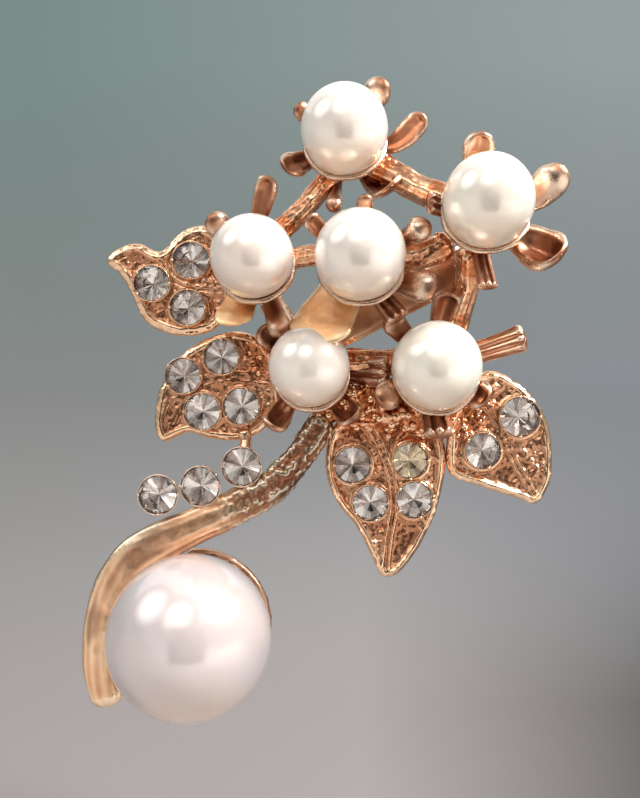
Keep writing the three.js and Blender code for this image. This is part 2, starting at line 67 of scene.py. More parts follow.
@dataclass
class Shape:
    """Closed bodies: points in millimetres, triangles that face outwards, and where grains sit."""

    points: np.ndarray
    triangles: np.ndarray
    grainy: Optional[np.ndarray] = None

    def moved(self, offset: Sequence[float]) -> "Shape":
        """Returns the shape shifted by offset."""
        return Shape(self.points + np.asarray(offset, float), self.triangles, self.grainy)

    def aimed(self, axis: Sequence[float]) -> "Shape":
        """Returns the shape with its +Z turned to axis."""
        turn = np.array(Vector((0, 0, 1)).rotation_difference(Vector(axis)).to_matrix())
        return Shape(self.points @ turn.T, self.triangles, self.grainy)

    def normals(self) -> np.ndarray:
        """Returns the unit normal at each point."""
        a, b, c = (self.points[self.triangles[:, k]] for k in range(3))
        flat = np.cross(b - a, c - a)
        total = np.zeros_like(self.points)
        for corner in range(3):
            for axis in range(3):
                total[:, axis] += np.bincount(self.triangles[:, corner], flat[:, axis], len(self.points))
        return unit(total)

    def edges(self) -> np.ndarray:
        """Returns each edge once, as a pair of point numbers."""
        pairs = np.vstack([self.triangles[:, [0, 1]], self.triangles[:, [1, 2]], self.triangles[:, [2, 0]]])
        return np.unique(np.sort(pairs, axis=1), axis=0)

    def relief(self, near_rounds: int, wide_rounds: int) -> np.ndarray:
        """How far each point stands above its softened surroundings, near and wide.

        Args:
            near_rounds: How many times the near surroundings are averaged.
            wide_rounds: How many times the wide surroundings are averaged.

        Returns:
            One value a point, in tenths of a millimetre. The piece's median is at nought, and
            faces turned to the back are held close to it.
        """
        one, two = self.edges().T
        count = np.bincount(one, minlength=len(self.points)) + np.bincount(two, minlength=len(self.points))
        count = np.maximum(count, 1)[:, None]
        soft = self.points.copy()
        rise = np.zeros(len(soft))
        for number in range(wide_rounds):
            near = np.zeros_like(soft)
            for axis in range(3):
                near[:, axis] += np.bincount(one, soft[two, axis], len(soft))
                near[:, axis] += np.bincount(two, soft[one, axis], len(soft))
            soft = near / count
            if number + 1 in (near_rounds, wide_rounds):
                stand = np.einsum("ij,ij->i", self.points - soft, self.normals()) * 10.0
                rise += stand - np.median(stand)
        calm_back = 1 - 0.95 * ease(self.normals()[:, 1], 0.4, 0.85)
        return np.clip(rise, -3.0, 3.0) * calm_back


def unit(rows: np.ndarray) -> np.ndarray:
    """Returns the rows scaled to length one."""
    rows = np.asarray(rows, float)
    return rows / np.maximum(np.linalg.norm(rows, axis=-1, keepdims=True), 1e-12)


def outward(shape: Shape) -> Shape:
    """Turns a closed shape so that its faces point out.

    Args:
        shape: The closed shape.

    Returns:
        The same shape, wound outward.
    """
    a, b, c = (shape.points[shape.triangles[:, k]] for k in range(3))
    if np.einsum("ij,ij->i", a, np.cross(b, c)).sum() < 0:
        return Shape(shape.points, shape.triangles[:, ::-1], shape.grainy)
    return shape


def joined(shapes: Sequence[Shape]) -> Shape:
    """Puts several closed bodies into one shape.

    Args:
        shapes: The bodies.

    Returns:
        All of them, with their grainy points.
    """
    points, triangles, grainy, start = [], [], [], 0
    for shape in shapes:
        points.append(shape.points)
        triangles.append(shape.triangles + start)
        grainy.append(np.zeros(len(shape.points)) if shape.grainy is None else shape.grainy)
        start += len(shape.points)
    return Shape(np.vstack(points), np.vstack(triangles), np.concatenate(grainy))


def smooth_line(knots: Rows, count: int, closed: bool = False) -> np.ndarray:
    """A curve through the knots, in even steps.

    Args:
        knots: Points, each with two or three places and then any sizes that go with them.
        count: How many points come back.
        closed: True where the curve runs back to its first knot.

    Returns:
        The curve's points, with their sizes.
    """
    rows = np.asarray(knots, float)
    places = min(rows.shape[1], 3)
    if closed:
        rows = np.vstack([rows[-1], rows, rows[0], rows[1]])
    else:
        rows = np.vstack([2 * rows[0] - rows[1], rows, 2 * rows[-1] - rows[-2]])
    t = np.linspace(0, 1, 24, endpoint=False)[:, None]
    spans = []
    for a, b, c, d in zip(rows[:-3], rows[1:-2], rows[2:-1], rows[3:]):
        spans.append(
            0.5 * (2 * b + (c - a) * t + (2 * a - 5 * b + 4 * c - d) * t**2 + (3 * b - a - 3 * c + d) * t**3)
        )
    fine = np.vstack([*spans, rows[-2][None]])
    steps = np.linalg.norm(np.diff(fine[:, :places], axis=0), axis=1)
    run = np.concatenate([[0.0], np.cumsum(steps)])
    even = np.linspace(0, run[-1], count, endpoint=not closed)
    return np.column_stack([np.interp(even, run, fine[:, k]) for k in range(fine.shape[1])])


def full_turn(count: int) -> np.ndarray:
    """Returns even angles round a whole turn."""
    return np.linspace(0, 2 * math.pi, count, endpoint=False)


def run_along(line: np.ndarray) -> np.ndarray:
    """Returns the distance along a line at each of its points."""
    return np.concatenate([[0.0], np.cumsum(np.linalg.norm(np.diff(line, axis=0), axis=1))])


def capped(rings: np.ndarray) -> Shape:
    """A closed body from rings of points, with a cap at both ends.

    Args:
        rings: Points as ring, place round the ring, axis.

    Returns:
        The closed body.
    """
    count, sides, _ = rings.shape
    number = np.arange(count * sides).reshape(count, sides)
    after = np.roll(number, -1, axis=1)
    a, b, c, d = number[:-1], after[:-1], after[1:], number[1:]
    walls = np.vstack([np.stack([a, b, c], -1).reshape(-1, 3), np.stack([a, c, d], -1).reshape(-1, 3)])
    low, high = count * sides, count * sides + 1
    first = np.column_stack([after[0], number[0], np.full(sides, low)])
    last = np.column_stack([number[-1], after[-1], np.full(sides, high)])
    points = np.vstack([rings.reshape(-1, 3), rings[0].mean(0), rings[-1].mean(0)])
    return outward(Shape(points, np.vstack([walls, first, last])))


def ringed(rings: np.ndarray) -> Shape:
    """A closed hoop.

    Args:
        rings: Points as ring, place round the ring, axis, with the last ring next to the first.

    Returns:
        The closed hoop.
    """
    count, sides, _ = rings.shape
    number = np.arange(count * sides).reshape(count, sides)
    side, down = np.roll(number, -1, axis=1), np.roll(number, -1, axis=0)
    both = np.roll(side, -1, axis=0)
    one = np.stack([number, side, both], -1).reshape(-1, 3)
    two = np.stack([number, both, down], -1).reshape(-1, 3)
    return outward(Shape(rings.reshape(-1, 3), np.vstack([one, two])))


def revolved(profile: Rows, sides: int, hoop: bool = False) -> Shape:
    """A profile turned round +Z.

    Args:
        profile: Radius and height, row by row.
        sides: Steps round the axis.
        hoop: True where the profile is a loop clear of the axis.

    Returns:
        The closed body.
    """
    rows = np.asarray(profile, float)
    turn = full_turn(sides)
    rings = np.stack(
        [rows[:, :1] * np.cos(turn), rows[:, :1] * np.sin(turn), np.repeat(rows[:, 1:2], sides, axis=1)],
        -1,
    )
    return ringed(rings) if hoop else capped(rings)


def tube(
    line: np.ndarray, widths: np.ndarray, depths: np.ndarray, sides: int,
    ridge: Optional[Callable[[np.ndarray, np.ndarray], np.ndarray]] = None, square: float = 1.0,
    round_ends: bool = True,
) -> Shape:
    """An oval swept along a line, wide in the XZ plane and deep along Y.

    Args:
        line: The centre line's points.
        widths: Half the width at each point.
        depths: Half the depth at each point.
        sides: Points round the oval.
        ridge: Gives the share by which the skin stands out, from the run and the turn.
        square: One for an oval, less for a boxier section.
        round_ends: True where both ends are domed.

    Returns:
        The closed body.
    """
    along = unit(np.gradient(line, axis=0))
    side = unit(np.cross(along, (0.0, 1.0, 0.0)))
    deep = np.cross(side, along)
    run = run_along(line)
    turn = full_turn(sides)
    swell = np.ones((len(line), sides))
    if ridge is not None:
        swell = swell + ridge(run[:, None], turn[None, :])
    if round_ends:
        reach = np.minimum(widths, depths)
        near = np.clip(np.minimum(run, run[-1] - run) / reach, 0.02, 1.0)
        swell = swell * np.sqrt(1 - (1 - near[:, None]) ** 2)
    cos = np.sign(np.cos(turn)) * np.abs(np.cos(turn)) ** square
    sin = np.sign(np.sin(turn)) * np.abs(np.sin(turn)) ** square
    out = widths[:, None] * cos * swell
    back = depths[:, None] * sin * swell
    return capped(line[:, None] + side[:, None] * out[..., None] + deep[:, None] * back[..., None])


def distance_to(line: np.ndarray, points: np.ndarray) -> np.ndarray:
    """How far flat points are from a line.

    Args:
        line: The line's points.
        points: Where to measure.

    Returns:
        One distance a point.
    """
    best = np.full(len(points), 1e9)
    for a, b in zip(line[:-1], line[1:]):
        way = b - a
        share = np.clip((points - a) @ way / max(way @ way, 1e-12), 0, 1)
        best = np.minimum(best, np.linalg.norm(points - a - share[:, None] * way, axis=1))
    return best


def bell(distance: np.ndarray, width: float) -> np.ndarray:
    """Returns one at distance nought, falling smoothly away over width."""
    return np.exp(-((distance / width) ** 2))


def ease(value: np.ndarray, low: float, high: float) -> np.ndarray:
    """Returns a smooth step from nought at low to one at high."""
    share = np.clip((value - low) / (high - low), 0, 1)
    return share * share * (3 - 2 * share)


class CastSkin:
    """The hills and grains of a cast skin, the same on every run."""

    def __init__(self, seed: int, cells: int = 32) -> None:
        """Draws the skin's lattices.

        Args:
            seed: Fixes the draw.
            cells: Cells a side before the skin repeats.
        """
        draw = np.random.default_rng(seed)
        self.cells = cells
        self.heights = draw.random((cells, cells, cells)) * 2 - 1
        self.seeds = draw.random((cells, cells, cells, 3))

    def hills(self, points: np.ndarray, size: float) -> np.ndarray:
        """Smooth hills from minus one to one.

        Args:
            points: Where to measure.
            size: A hill's width.

        Returns:
            One height a point.
        """
        place = points / size
        cell = np.floor(place).astype(int)
        part = place - cell
        part = part * part * (3 - 2 * part)
        total = np.zeros(len(points))
        for corner in np.ndindex(2, 2, 2):
            share = np.prod(np.where(corner, part, 1 - part), axis=1)
            index = (cell + corner) % self.cells
            total += share * self.heights[tuple(index.T)]
        return total

    def grains(self, points: np.ndarray, size: float) -> np.ndarray:
        """Round grains: one in the middle of a grain, nought between grains.

        Args:
            points: Where to measure.
            size: A grain's width.

        Returns:
            One height a point.
        """
        place = points / size
        cell = np.floor(place).astype(int)
        part = place - cell
        best = np.full(len(points), 9.0)
        for step in np.ndindex(3, 3, 3):
            shift = np.array(step) - 1
            index = (cell + shift) % self.cells
            away = shift + self.seeds[tuple(index.T)] - part
            best = np.minimum(best, np.einsum("ij,ij->i", away, away))
        return np.clip(1 - best / 0.55, 0, 1)

    def cover(self, shape: Shape, hill: float, hill_size: float, grain: float, grain_size: float) -> Shape:
        """The shape with this skin on it.

        Args:
            shape: The smooth shape.
            hill: Height of the hills.
            hill_size: Width of the hills.
            grain: Height of the grains.
            grain_size: Width of the grains.

        Returns:
            The roughened shape.
        """
        rise = hill * self.hills(shape.points, hill_size)
        rise += 0.5 * hill * self.hills(shape.points + 7.0, hill_size * 0.45)
        if grain:
            rise += grain * self.grains(shape.points, grain_size)
        return Shape(shape.points + shape.normals() * rise[:, None], shape.triangles, shape.grainy)


SKIN = CastSkin(SKIN_SEED)


# ---------------------------------------------------------------- finishes


class Bench:
    """Adds nodes to one tree and joins them."""

    def __init__(self, tree: bpy.types.NodeTree) -> None:
        """Keeps the tree that the nodes go into."""
        self.tree = tree

    def add(self, kind: str, inputs: Optional[dict] = None, **settings: object) -> bpy.types.Node:
        """Adds one node.

        Args:
            kind: The node's type.
            inputs: What each input gets: a value, or the socket that feeds it.
            settings: The node's own settings.

        Returns:
            The node.
        """
        node = self.tree.nodes.new(kind)
        for name, value in settings.items():
            setattr(node, name, value)
        for name, value in (inputs or {}).items():
            if isinstance(value, bpy.types.NodeSocket):
                self.tree.links.new(value, node.inputs[name])
            else:
                node.inputs[name].default_value = value
        return node

    def mix(self, share: object, one: object, two: object) -> bpy.types.NodeSocket:
        """Returns the colour between one and two at that share."""
        node = self.add("ShaderNodeMix", {0: share, 6: one, 7: two}, data_type="RGBA")
        return node.outputs[2]

    def blend(
        self, value: object, ends: tuple[float, float], to: tuple[float, float]
    ) -> bpy.types.NodeSocket:
        """Moves a value from one span to another, and keeps it inside.

        Args:
            value: The value or socket.
            ends: The span it comes from.
            to: The span it goes to.

        Returns:
            The moved value.
        """
        wanted = {0: value, 1: ends[0], 2: ends[1], 3: to[0], 4: to[1]}
        return self.add("ShaderNodeMapRange", wanted).outputs[0]

    def sums(self, one: object, two: object, how: str = "ADD") -> bpy.types.NodeSocket:
        """Returns one value worked out from two."""
        return self.add("ShaderNodeMath", {0: one, 1: two}, operation=how).outputs[0]

    def times(self, one: object, two: object) -> bpy.types.NodeSocket:
        """Returns one value times the other."""
        return self.sums(one, two, "MULTIPLY")

    def attribute(self, name: str) -> bpy.types.NodeSocket:
        """Returns the value that the mesh holds under that name."""
        return self.add("ShaderNodeAttribute", attribute_name=name).outputs["Fac"]

    def place(self) -> bpy.types.NodeSocket:
        """Returns the place on the object."""
        return self.add("ShaderNodeTexCoord").outputs["Object"]

    def feed(self, value: bpy.types.NodeSocket, node: bpy.types.Node, name: str) -> None:
        """Joins a value to the node's input of that name."""
        self.tree.links.new(value, node.inputs[name])


def new_group(
    name: str, inputs: dict[str, float], outputs: Sequence[str]
) -> tuple[Bench, bpy.types.Node, bpy.types.Node]:
    """A shader node group with named values in and out.

    Args:
        name: The group's name.
        inputs: Each input and its usual value.
        outputs: The names of the values that it puts out.

    Returns:
        The bench for its tree, and its input and output nodes.
    """
    tree = bpy.data.node_groups.new(name, "ShaderNodeTree")
    for label, usual in inputs.items():
        tree.interface.new_socket(label, in_out="INPUT", socket_type="NodeSocketFloat").default_value = usual
    for label in outputs:
        tree.interface.new_socket(label, in_out="OUTPUT", socket_type="NodeSocketFloat")
    return Bench(tree), tree.nodes.new("NodeGroupInput"), tree.nodes.new("NodeGroupOutput")


class SharedEffects:
    """The effects that several finishes use, each built once."""

    def __init__(self) -> None:
        """Builds every group."""
        self.relief_shading = self._relief_shading()
        self.tone = self._tone()
        self.brushing = self._brushing()

    @staticmethod
    def _relief_shading() -> bpy.types.NodeTree:
        """Returns the group that finds recesses, for painted shade, and raised edges, for painted highlights,
        from the relief attribute.
        """
        bench, given, out = new_group("relief_shading", {"Recess Depth": 0.8, "Edge Height": 0.8}, ["Recess", "Edge"])
        relief = bench.attribute(RELIEF_ATTRIBUTE)
        down = bench.times(relief, -1.0)
        recess = bench.add("ShaderNodeMapRange", {0: down, 1: 0.0, 2: given.outputs[0], 3: 0.0, 4: 1.0})
        edge = bench.add("ShaderNodeMapRange", {0: relief, 1: 0.0, 2: given.outputs[1], 3: 0.0, 4: 1.0})
        bench.tree.links.new(recess.outputs[0], out.inputs[0])
        bench.tree.links.new(edge.outputs[0], out.inputs[1])
        return bench.tree

    @staticmethod
    def _tone() -> bpy.types.NodeTree:
        """Returns the group for broad patches of tone and the fine grain of the casting."""
        bench, given, out = new_group("cast_tone", {"Patch": 260.0, "Grain": 2600.0}, ["Tone", "Height"])
        place = bench.place()
        patch = bench.add("ShaderNodeTexNoise", {"Vector": place, "Scale": given.outputs[0], "Detail": 3.0})
        tone = bench.blend(patch.outputs[0], (0.35, 0.65), (0.0, 1.0))
        fine = bench.add("ShaderNodeTexNoise", {"Vector": place, "Scale": given.outputs[1], "Detail": 4.0})
        cells = bench.add("ShaderNodeTexVoronoi", {"Vector": place, "Scale": given.outputs[1]})
        height = bench.sums(fine.outputs[0], bench.times(cells.outputs[0], 0.5))
        bench.tree.links.new(tone, out.inputs[0])
        bench.tree.links.new(height, out.inputs[1])
        return bench.tree

    @staticmethod
    def _brushing() -> bpy.types.NodeTree:
        """Returns the group for fine lines drawn along one direction of the piece."""
        bench, given, out = new_group("brushing", {"Fineness": 3000.0, "Length": 0.12}, ["Lines"])
        place = bench.place()
        apart = bench.add("ShaderNodeSeparateXYZ", {0: place})
        drawn = bench.times(apart.outputs[0], given.outputs[1])
        long = bench.add("ShaderNodeCombineXYZ", {0: drawn, 1: apart.outputs[1], 2: apart.outputs[2]})
        lines = bench.add(
            "ShaderNodeTexNoise", {"Vector": long.outputs[0], "Scale": given.outputs[0], "Detail": 3.0}
        )
        bench.tree.links.new(lines.outputs[0], out.inputs[0])
        return bench.tree


EFFECTS = SharedEffects()


def new_material(name: str) -> tuple[bpy.types.Material, Bench, bpy.types.Node]:
    """Starts a material.

    Args:
        name: The finish's name.

    Returns:
        The material, the bench for its tree, and its shader.
    """
    material = bpy.data.materials.new(name)
    material.use_nodes = True
    bench = Bench(material.node_tree)
    return material, bench, material.node_tree.nodes["Principled BSDF"]


@dataclass(frozen=True)
class CastFinish:
    """Plated metal with painted shade in its recesses, painted highlights on its raised edges and a fine cast
    grain.
    """

    name: str
    # deep is the painted shade colour laid in recesses; bright is the painted highlight colour laid on raised
    # edges.
    deep: Colour
    body: Colour
    warm: Colour
    bright: Colour
    rough: tuple[float, float] = (0.42, 0.2)
    relief_shading: tuple[float, float] = (0.9, 0.9)
    patch: float = 260.0
    grain: float = 2600.0
    bump: float = 0.35
    lines: float = 0.0
    # How strongly recesses are painted with shade and raised edges painted with highlight.
    recess_shade: float = 0.6
    edge_highlight: float = 0.5
    ruddy: Colour = (0.50, 0.19, 0.10, 1.0)

    def material(self) -> bpy.types.Material:
        """Returns the finish as a material."""
        material, bench, shader = new_material(self.name)
        shade_and_highlight = bench.add("ShaderNodeGroup", node_tree=EFFECTS.relief_shading)
        shade_and_highlight.inputs[0].default_value, shade_and_highlight.inputs[1].default_value = self.relief_shading
        tone = bench.add("ShaderNodeGroup", node_tree=EFFECTS.tone)
        tone.inputs[0].default_value, tone.inputs[1].default_value = self.patch, self.grain
        colour = bench.mix(tone.outputs[0], self.body, self.warm)
        rough_part = bench.attribute(GRAIN_ATTRIBUTE)
        colour = bench.mix(bench.times(rough_part, 0.95), colour, self.ruddy)
        # Painted shade darkens the recesses, then painted highlights lighten the raised edges.
        colour = bench.mix(bench.times(shade_and_highlight.outputs[0], self.recess_shade), colour, self.deep)
        colour = bench.mix(bench.times(shade_and_highlight.outputs[1], self.edge_highlight), colour, self.bright)
        rough = bench.blend(shade_and_highlight.outputs[1], (0.0, 1.0), self.rough)
        speck = bench.blend(tone.outputs[1], (0.3, 1.2), (-0.06, 0.1))
        height = tone.outputs[1]
        if self.lines:
            brushed = bench.add("ShaderNodeGroup", node_tree=EFFECTS.brushing)
            height = bench.sums(height, bench.times(brushed.outputs[0], self.lines))
        bump = bench.add("ShaderNodeBump", {"Height": height, "Strength": self.bump, "Distance": 0.00006})
        shader.inputs["Metallic"].default_value = 1.0
        bench.feed(colour, shader, "Base Color")
        bench.feed(bench.sums(rough, speck), shader, "Roughness")
        bench.feed(bump.outputs[0], shader, "Normal")
        return material


@dataclass(frozen=True)
class NacreFinish:
    """The soft lustre of a pearl: a pale body under a clear glowing skin, with a painted warm reflection of
    the gold on its underside.
    """

    name: str
    body: Colour
    blush: Colour
    # warm is painted light: the gold's warm reflection laid on the pearl's underside.
    warm: Colour = (1.0, 0.80, 0.62, 1.0)
    rough: float = 0.2
    metal: float = 0.22

    def material(self) -> bpy.types.Material:
        """Returns the finish as a material."""
        material, bench, shader = new_material(self.name)
        place = bench.place()
        cloud = bench.add("ShaderNodeTexNoise", {"Vector": place, "Scale": 170.0, "Detail": 2.0})
        swirl = bench.add("ShaderNodeTexNoise", {"Vector": place, "Scale": 900.0, "Detail": 4.0})
        share = bench.blend(cloud.outputs[0], (0.35, 0.65), (0.0, 1.0))
        rough = bench.blend(swirl.outputs[0], (0.3, 0.7), (self.rough - 0.03, self.rough + 0.04))
        bump = bench.add(
            "ShaderNodeBump", {"Height": swirl.outputs[0], "Strength": 0.12, "Distance": 0.00004}
        )
        shader.inputs["Metallic"].default_value = self.metal
        shader.inputs["IOR"].default_value = 1.62
        shader.inputs["Coat Weight"].default_value = 1.0
        shader.inputs["Coat Roughness"].default_value = 0.12
        shader.inputs["Subsurface Weight"].default_value = 0.2
        shader.inputs["Subsurface Radius"].default_value = (0.9, 0.7, 0.55)
        shader.inputs["Subsurface Scale"].default_value = 0.0015
        # Painted reflection: the underside is warmed as though lit by the gold cup below.
        warm_bounce = bench.attribute(WARM_BOUNCE_ATTRIBUTE)
        clouded = bench.mix(share, self.body, self.blush)
        colour = bench.mix(bench.times(warm_bounce, 0.75), clouded, self.warm)
        bench.feed(colour, shader, "Base Color")
        bench.feed(rough, shader, "Roughness")
        bench.feed(bump.outputs[0], shader, "Normal")
        return material


@dataclass(frozen=True)
class StoneFinish:
    """Cut glass, faintly clouded."""

    name: str
    tint: Colour
    haze: Colour
    rough: float = 0.01
    index: float = 1.6

    def material(self) -> bpy.types.Material:
        """Returns the finish as a material."""
        material, bench, shader = new_material(self.name)
        place = bench.place()
        cloud = bench.add("ShaderNodeTexNoise", {"Vector": place, "Scale": 700.0, "Detail": 2.0})
        shader.inputs["Transmission Weight"].default_value = 1.0
        shader.inputs["IOR"].default_value = self.index
        bench.feed(bench.mix(cloud.outputs[0], self.tint, self.haze), shader, "Base Color")
        bench.tree.links.new(
            bench.blend(cloud.outputs[0], (0.4, 0.8), (self.rough, self.rough * 3)),
            shader.inputs["Roughness"],
        )
        return material


@dataclass(frozen=True)
class FoilFinish:
    """The mirror backing painted on the underside of a glass stone."""

    name: str
    silver: Colour
    dim: Colour
    tarnish: Colour

    def material(self) -> bpy.types.Material:
        """Returns the finish as a material."""
        material, bench, shader = new_material(self.name)
        place = bench.place()
        spots = bench.add("ShaderNodeTexNoise", {"Vector": place, "Scale": 1400.0, "Detail": 3.0})
        share = bench.blend(spots.outputs[0], (0.5, 0.75), (0.0, 1.0))
        # Painted light and shade: each facet's shine picks between the dim and the silver colour.
        shine = bench.attribute(FACET_ATTRIBUTE)
        colour = bench.mix(share, bench.mix(shine, self.dim, self.silver), self.tarnish)
        shader.inputs["Metallic"].default_value = 1.0
        bench.feed(colour, shader, "Base Color")
        bench.feed(bench.blend(share, (0.0, 1.0), (0.04, 0.15)), shader, "Roughness")
        return material


@dataclass(frozen=True)
class BackdropFinish:
    """The pale sweep that the brooch stands on, painted with light and shade: greenish and paler at the top,
    dark at the lower right.
    """

    name: str = "pale_sweep"
    # Painted light and shade: the corner colours copy how light fell across the surface behind the brooch;
    # facing is the paler colour near the camera.
    top_left: Colour = (0.225, 0.312, 0.302, 1.0)
    top_right: Colour = (0.360, 0.420, 0.430, 1.0)
    mid_left: Colour = (0.200, 0.208, 0.208, 1.0)
    mid_right: Colour = (0.215, 0.225, 0.246, 1.0)
    low_left: Colour = (0.200, 0.184, 0.182, 1.0)
    low_right: Colour = (0.048, 0.046, 0.044, 1.0)
    facing: Colour = (0.47, 0.455, 0.44, 1.0)
    apex: float = 0.09

    def material(self) -> bpy.types.Material:
        """Returns the finish as a material."""
        material, bench, shader = new_material(self.name)
        place = bench.place()
        apart = bench.add("ShaderNodeSeparateXYZ", {0: place})
        away = bench.sums(apart.outputs[1], self.apex)
        sideways = bench.sums(apart.outputs[0], away, "DIVIDE")
        right = bench.blend(sideways, (-0.36, 0.36), (0.0, 1.0))
        slope = bench.sums(apart.outputs[2], away, "DIVIDE")
        lower = bench.blend(slope, (-0.36, 0.04), (0.0, 1.0))
        upper = bench.blend(slope, (0.0, 0.44), (0.0, 1.0))
        near = bench.blend(apart.outputs[1], (0.03, -0.085), (0.0, 1.0))
        corner = bench.blend(sideways, (0.05, 0.42), (0.0, 1.0))
        # Painted light and shade across the sweep, blended between the corner colours.
        low = bench.mix(corner, self.low_left, self.low_right)
        middle = bench.mix(lower, low, bench.mix(right, self.mid_left, self.mid_right))
        colour = bench.mix(upper, middle, bench.mix(right, self.top_left, self.top_right))
        shader.inputs["Roughness"].default_value = 0.9
        shader.inputs["Specular IOR Level"].default_value = 0.1
        bench.feed(bench.mix(near, colour, self.facing), shader, "Base Color")
        return material


class Lustre(Enum):
    """The body colours that the small pearls come in."""

    CREAM = "cream"
    IVORY = "ivory"
    BLUSH = "blush"


class Finishes:
    """Every finish on the brooch, made once."""

    def __init__(self) -> None:
        """Mixes the finishes."""
        # Each cast finish's deep colour is painted shade for recesses and its bright colour a painted
        # highlight for raised edges.
        self.rose_cast = CastFinish(
            "rose_gold_cast", deep=(0.28, 0.09, 0.04, 1.0), body=(0.95, 0.60, 0.37, 1.0),
            warm=(0.76, 0.39, 0.22, 1.0), bright=(1.0, 0.74, 0.51, 1.0), rough=(0.24, 0.14),
            ruddy=(0.72, 0.25, 0.10, 1.0),
        ).material()
        self.petal_cast = CastFinish(
            "petal_rose_gold", deep=(0.24, 0.07, 0.03, 1.0), body=(0.70, 0.42, 0.27, 1.0),
            warm=(0.46, 0.22, 0.13, 1.0), bright=(1.0, 0.84, 0.68, 1.0), rough=(0.34, 0.26), patch=330.0,
            bump=0.2,
        ).material()
        self.plate_satin = CastFinish(
            "plate_yellow_gold", deep=(0.50, 0.18, 0.06, 1.0), body=(1.0, 0.72, 0.40, 1.0),
            warm=(0.95, 0.55, 0.28, 1.0), bright=(1.0, 0.86, 0.60, 1.0), rough=(0.45, 0.35), bump=0.3,
            recess_shade=0.3,
        ).material()
        self.stem_satin = CastFinish(
            "satin_gold", deep=(0.34, 0.12, 0.06, 1.0), body=(1.0, 0.70, 0.45, 1.0),
            warm=(0.90, 0.53, 0.31, 1.0), bright=(1.0, 0.86, 0.66, 1.0), rough=(0.36, 0.24), bump=0.3,
            lines=0.8, ruddy=(0.09, 0.03, 0.018, 1.0),
        ).material()
        self.cup_rim = CastFinish(
            "stone_cup_gold", deep=(0.45, 0.22, 0.14, 1.0), body=(0.92, 0.68, 0.52, 1.0),
            warm=(0.80, 0.50, 0.36, 1.0), bright=(1.0, 0.88, 0.76, 1.0), rough=(0.24, 0.12), bump=0.1,
        ).material()
        self.pin_steel = CastFinish(
            "pin_steel", deep=(0.22, 0.19, 0.17, 1.0), body=(0.72, 0.69, 0.66, 1.0),
            warm=(0.62, 0.58, 0.54, 1.0), bright=(0.92, 0.90, 0.88, 1.0), rough=(0.3, 0.16), bump=0.08,
            lines=0.6,
        ).material()
        self.small_pearl = {
            Lustre.CREAM: NacreFinish(
                "cream_pearl", (0.79, 0.725, 0.655, 1.0), (0.80, 0.71, 0.64, 1.0)
            ).material(),
            Lustre.IVORY: NacreFinish(
                "ivory_pearl", (0.79, 0.74, 0.64, 1.0), (0.80, 0.73, 0.64, 1.0)
            ).material(),
            Lustre.BLUSH: NacreFinish(
                "blush_pearl", (0.77, 0.69, 0.63, 1.0), (0.78, 0.67, 0.60, 1.0)
            ).material(),
        }
        # The large pearl's third colour is the painted warm reflection on its underside.
        self.large_pearl = NacreFinish(
            "large_pearl", (0.58, 0.515, 0.51, 1.0), (0.61, 0.52, 0.485, 1.0), (0.86, 0.66, 0.52, 1.0),
            metal=0.3,
        ).material()
        self.clear_stone = StoneFinish(
            "clear_stone", (1.0, 1.0, 1.0, 1.0), (0.96, 0.95, 0.94, 1.0)
        ).material()
        self.champagne_stone = StoneFinish(
            "champagne_stone", (0.93, 0.83, 0.62, 1.0), (0.85, 0.74, 0.52, 1.0), rough=0.06
        ).material()
        self.foil = FoilFinish(
            "stone_foil", (1.0, 0.98, 0.96, 1.0), (0.40, 0.33, 0.30, 1.0), (0.80, 0.70, 0.64, 1.0)
        ).material()


# ---------------------------------------------------------------- pieces


def plain_mesh(name: str, shape: Shape) -> bpy.types.Mesh:
    """Makes a mesh that is still in millimetres.

    Args:
        name: The mesh's name.
        shape: What it holds.

    Returns:
        The mesh.
    """
    mesh = bpy.data.meshes.new(name)
    mesh.from_pydata(shape.points.tolist(), [], shape.triangles.tolist())
    mesh.update()
    return mesh


def mark(mesh: bpy.types.Mesh, name: str, values: np.ndarray, domain: str = "POINT") -> None:
    """Writes one value a point, or a face, onto the mesh."""
    made = mesh.attributes.new(name, "FLOAT", domain)
    made.data.foreach_set("value", values.astype(np.float32))


def shape_of(mesh: bpy.types.Mesh) -> Shape:
    """Reads a mesh back.

    Args:
        mesh: The mesh.

    Returns:
        Its points and triangles.
    """
    mesh.calc_loop_triangles()
    points = np.zeros(len(mesh.vertices) * 3)
    mesh.vertices.foreach_get("co", points)
    triangles = np.zeros(len(mesh.loop_triangles) * 3, int)
    mesh.loop_triangles.foreach_get("vertices", triangles)
    return Shape(points.reshape(-1, 3), triangles.reshape(-1, 3))


@dataclass
class Piece:
    """One finished piece: what it is called, what it stands for and what it moves with."""

    name: str
    nodes: Sequence[str]
    slot: str
    body: str = "brooch"
    smooth: bool = True
    near_rounds: int = 6
    wide_rounds: int = 36

    def put(
        self, shape: Shape, *materials: bpy.types.Material, faces: Optional[np.ndarray] = None
    ) -> bpy.types.Object:
        """Makes the piece's object and ties it to the frame.

        Args:
            shape: The finished shape in millimetres.
            materials: What it is made of.
            faces: Which material each triangle has, where there are several.

        Returns:
            The object.
        """
        mesh = plain_mesh(self.name, shape)
        for material in materials:
            mesh.materials.append(material)
        if faces is not None:
            mesh.polygons.foreach_set("material_index", faces.astype(np.int32))
        mesh.polygons.foreach_set("use_smooth", np.full(len(mesh.polygons), self.smooth))
        # The relief drives the cast finishes' painted shade in recesses and painted highlights on raised
        # edges.
        mark(mesh, RELIEF_ATTRIBUTE, shape.relief(self.near_rounds, self.wide_rounds))
        if shape.grainy is not None:
            mark(mesh, GRAIN_ATTRIBUTE, shape.grainy)
        mesh.transform(Matrix.Scale(MM, 4))
        made = bpy.data.objects.new(self.name, mesh)
        bpy.context.scene.collection.objects.link(made)
        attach(made, self.body)
        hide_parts(*self.nodes)
        LOG.info("%s: %d triangles, rides on %s", self.name, len(mesh.polygons), self.body)
        return made


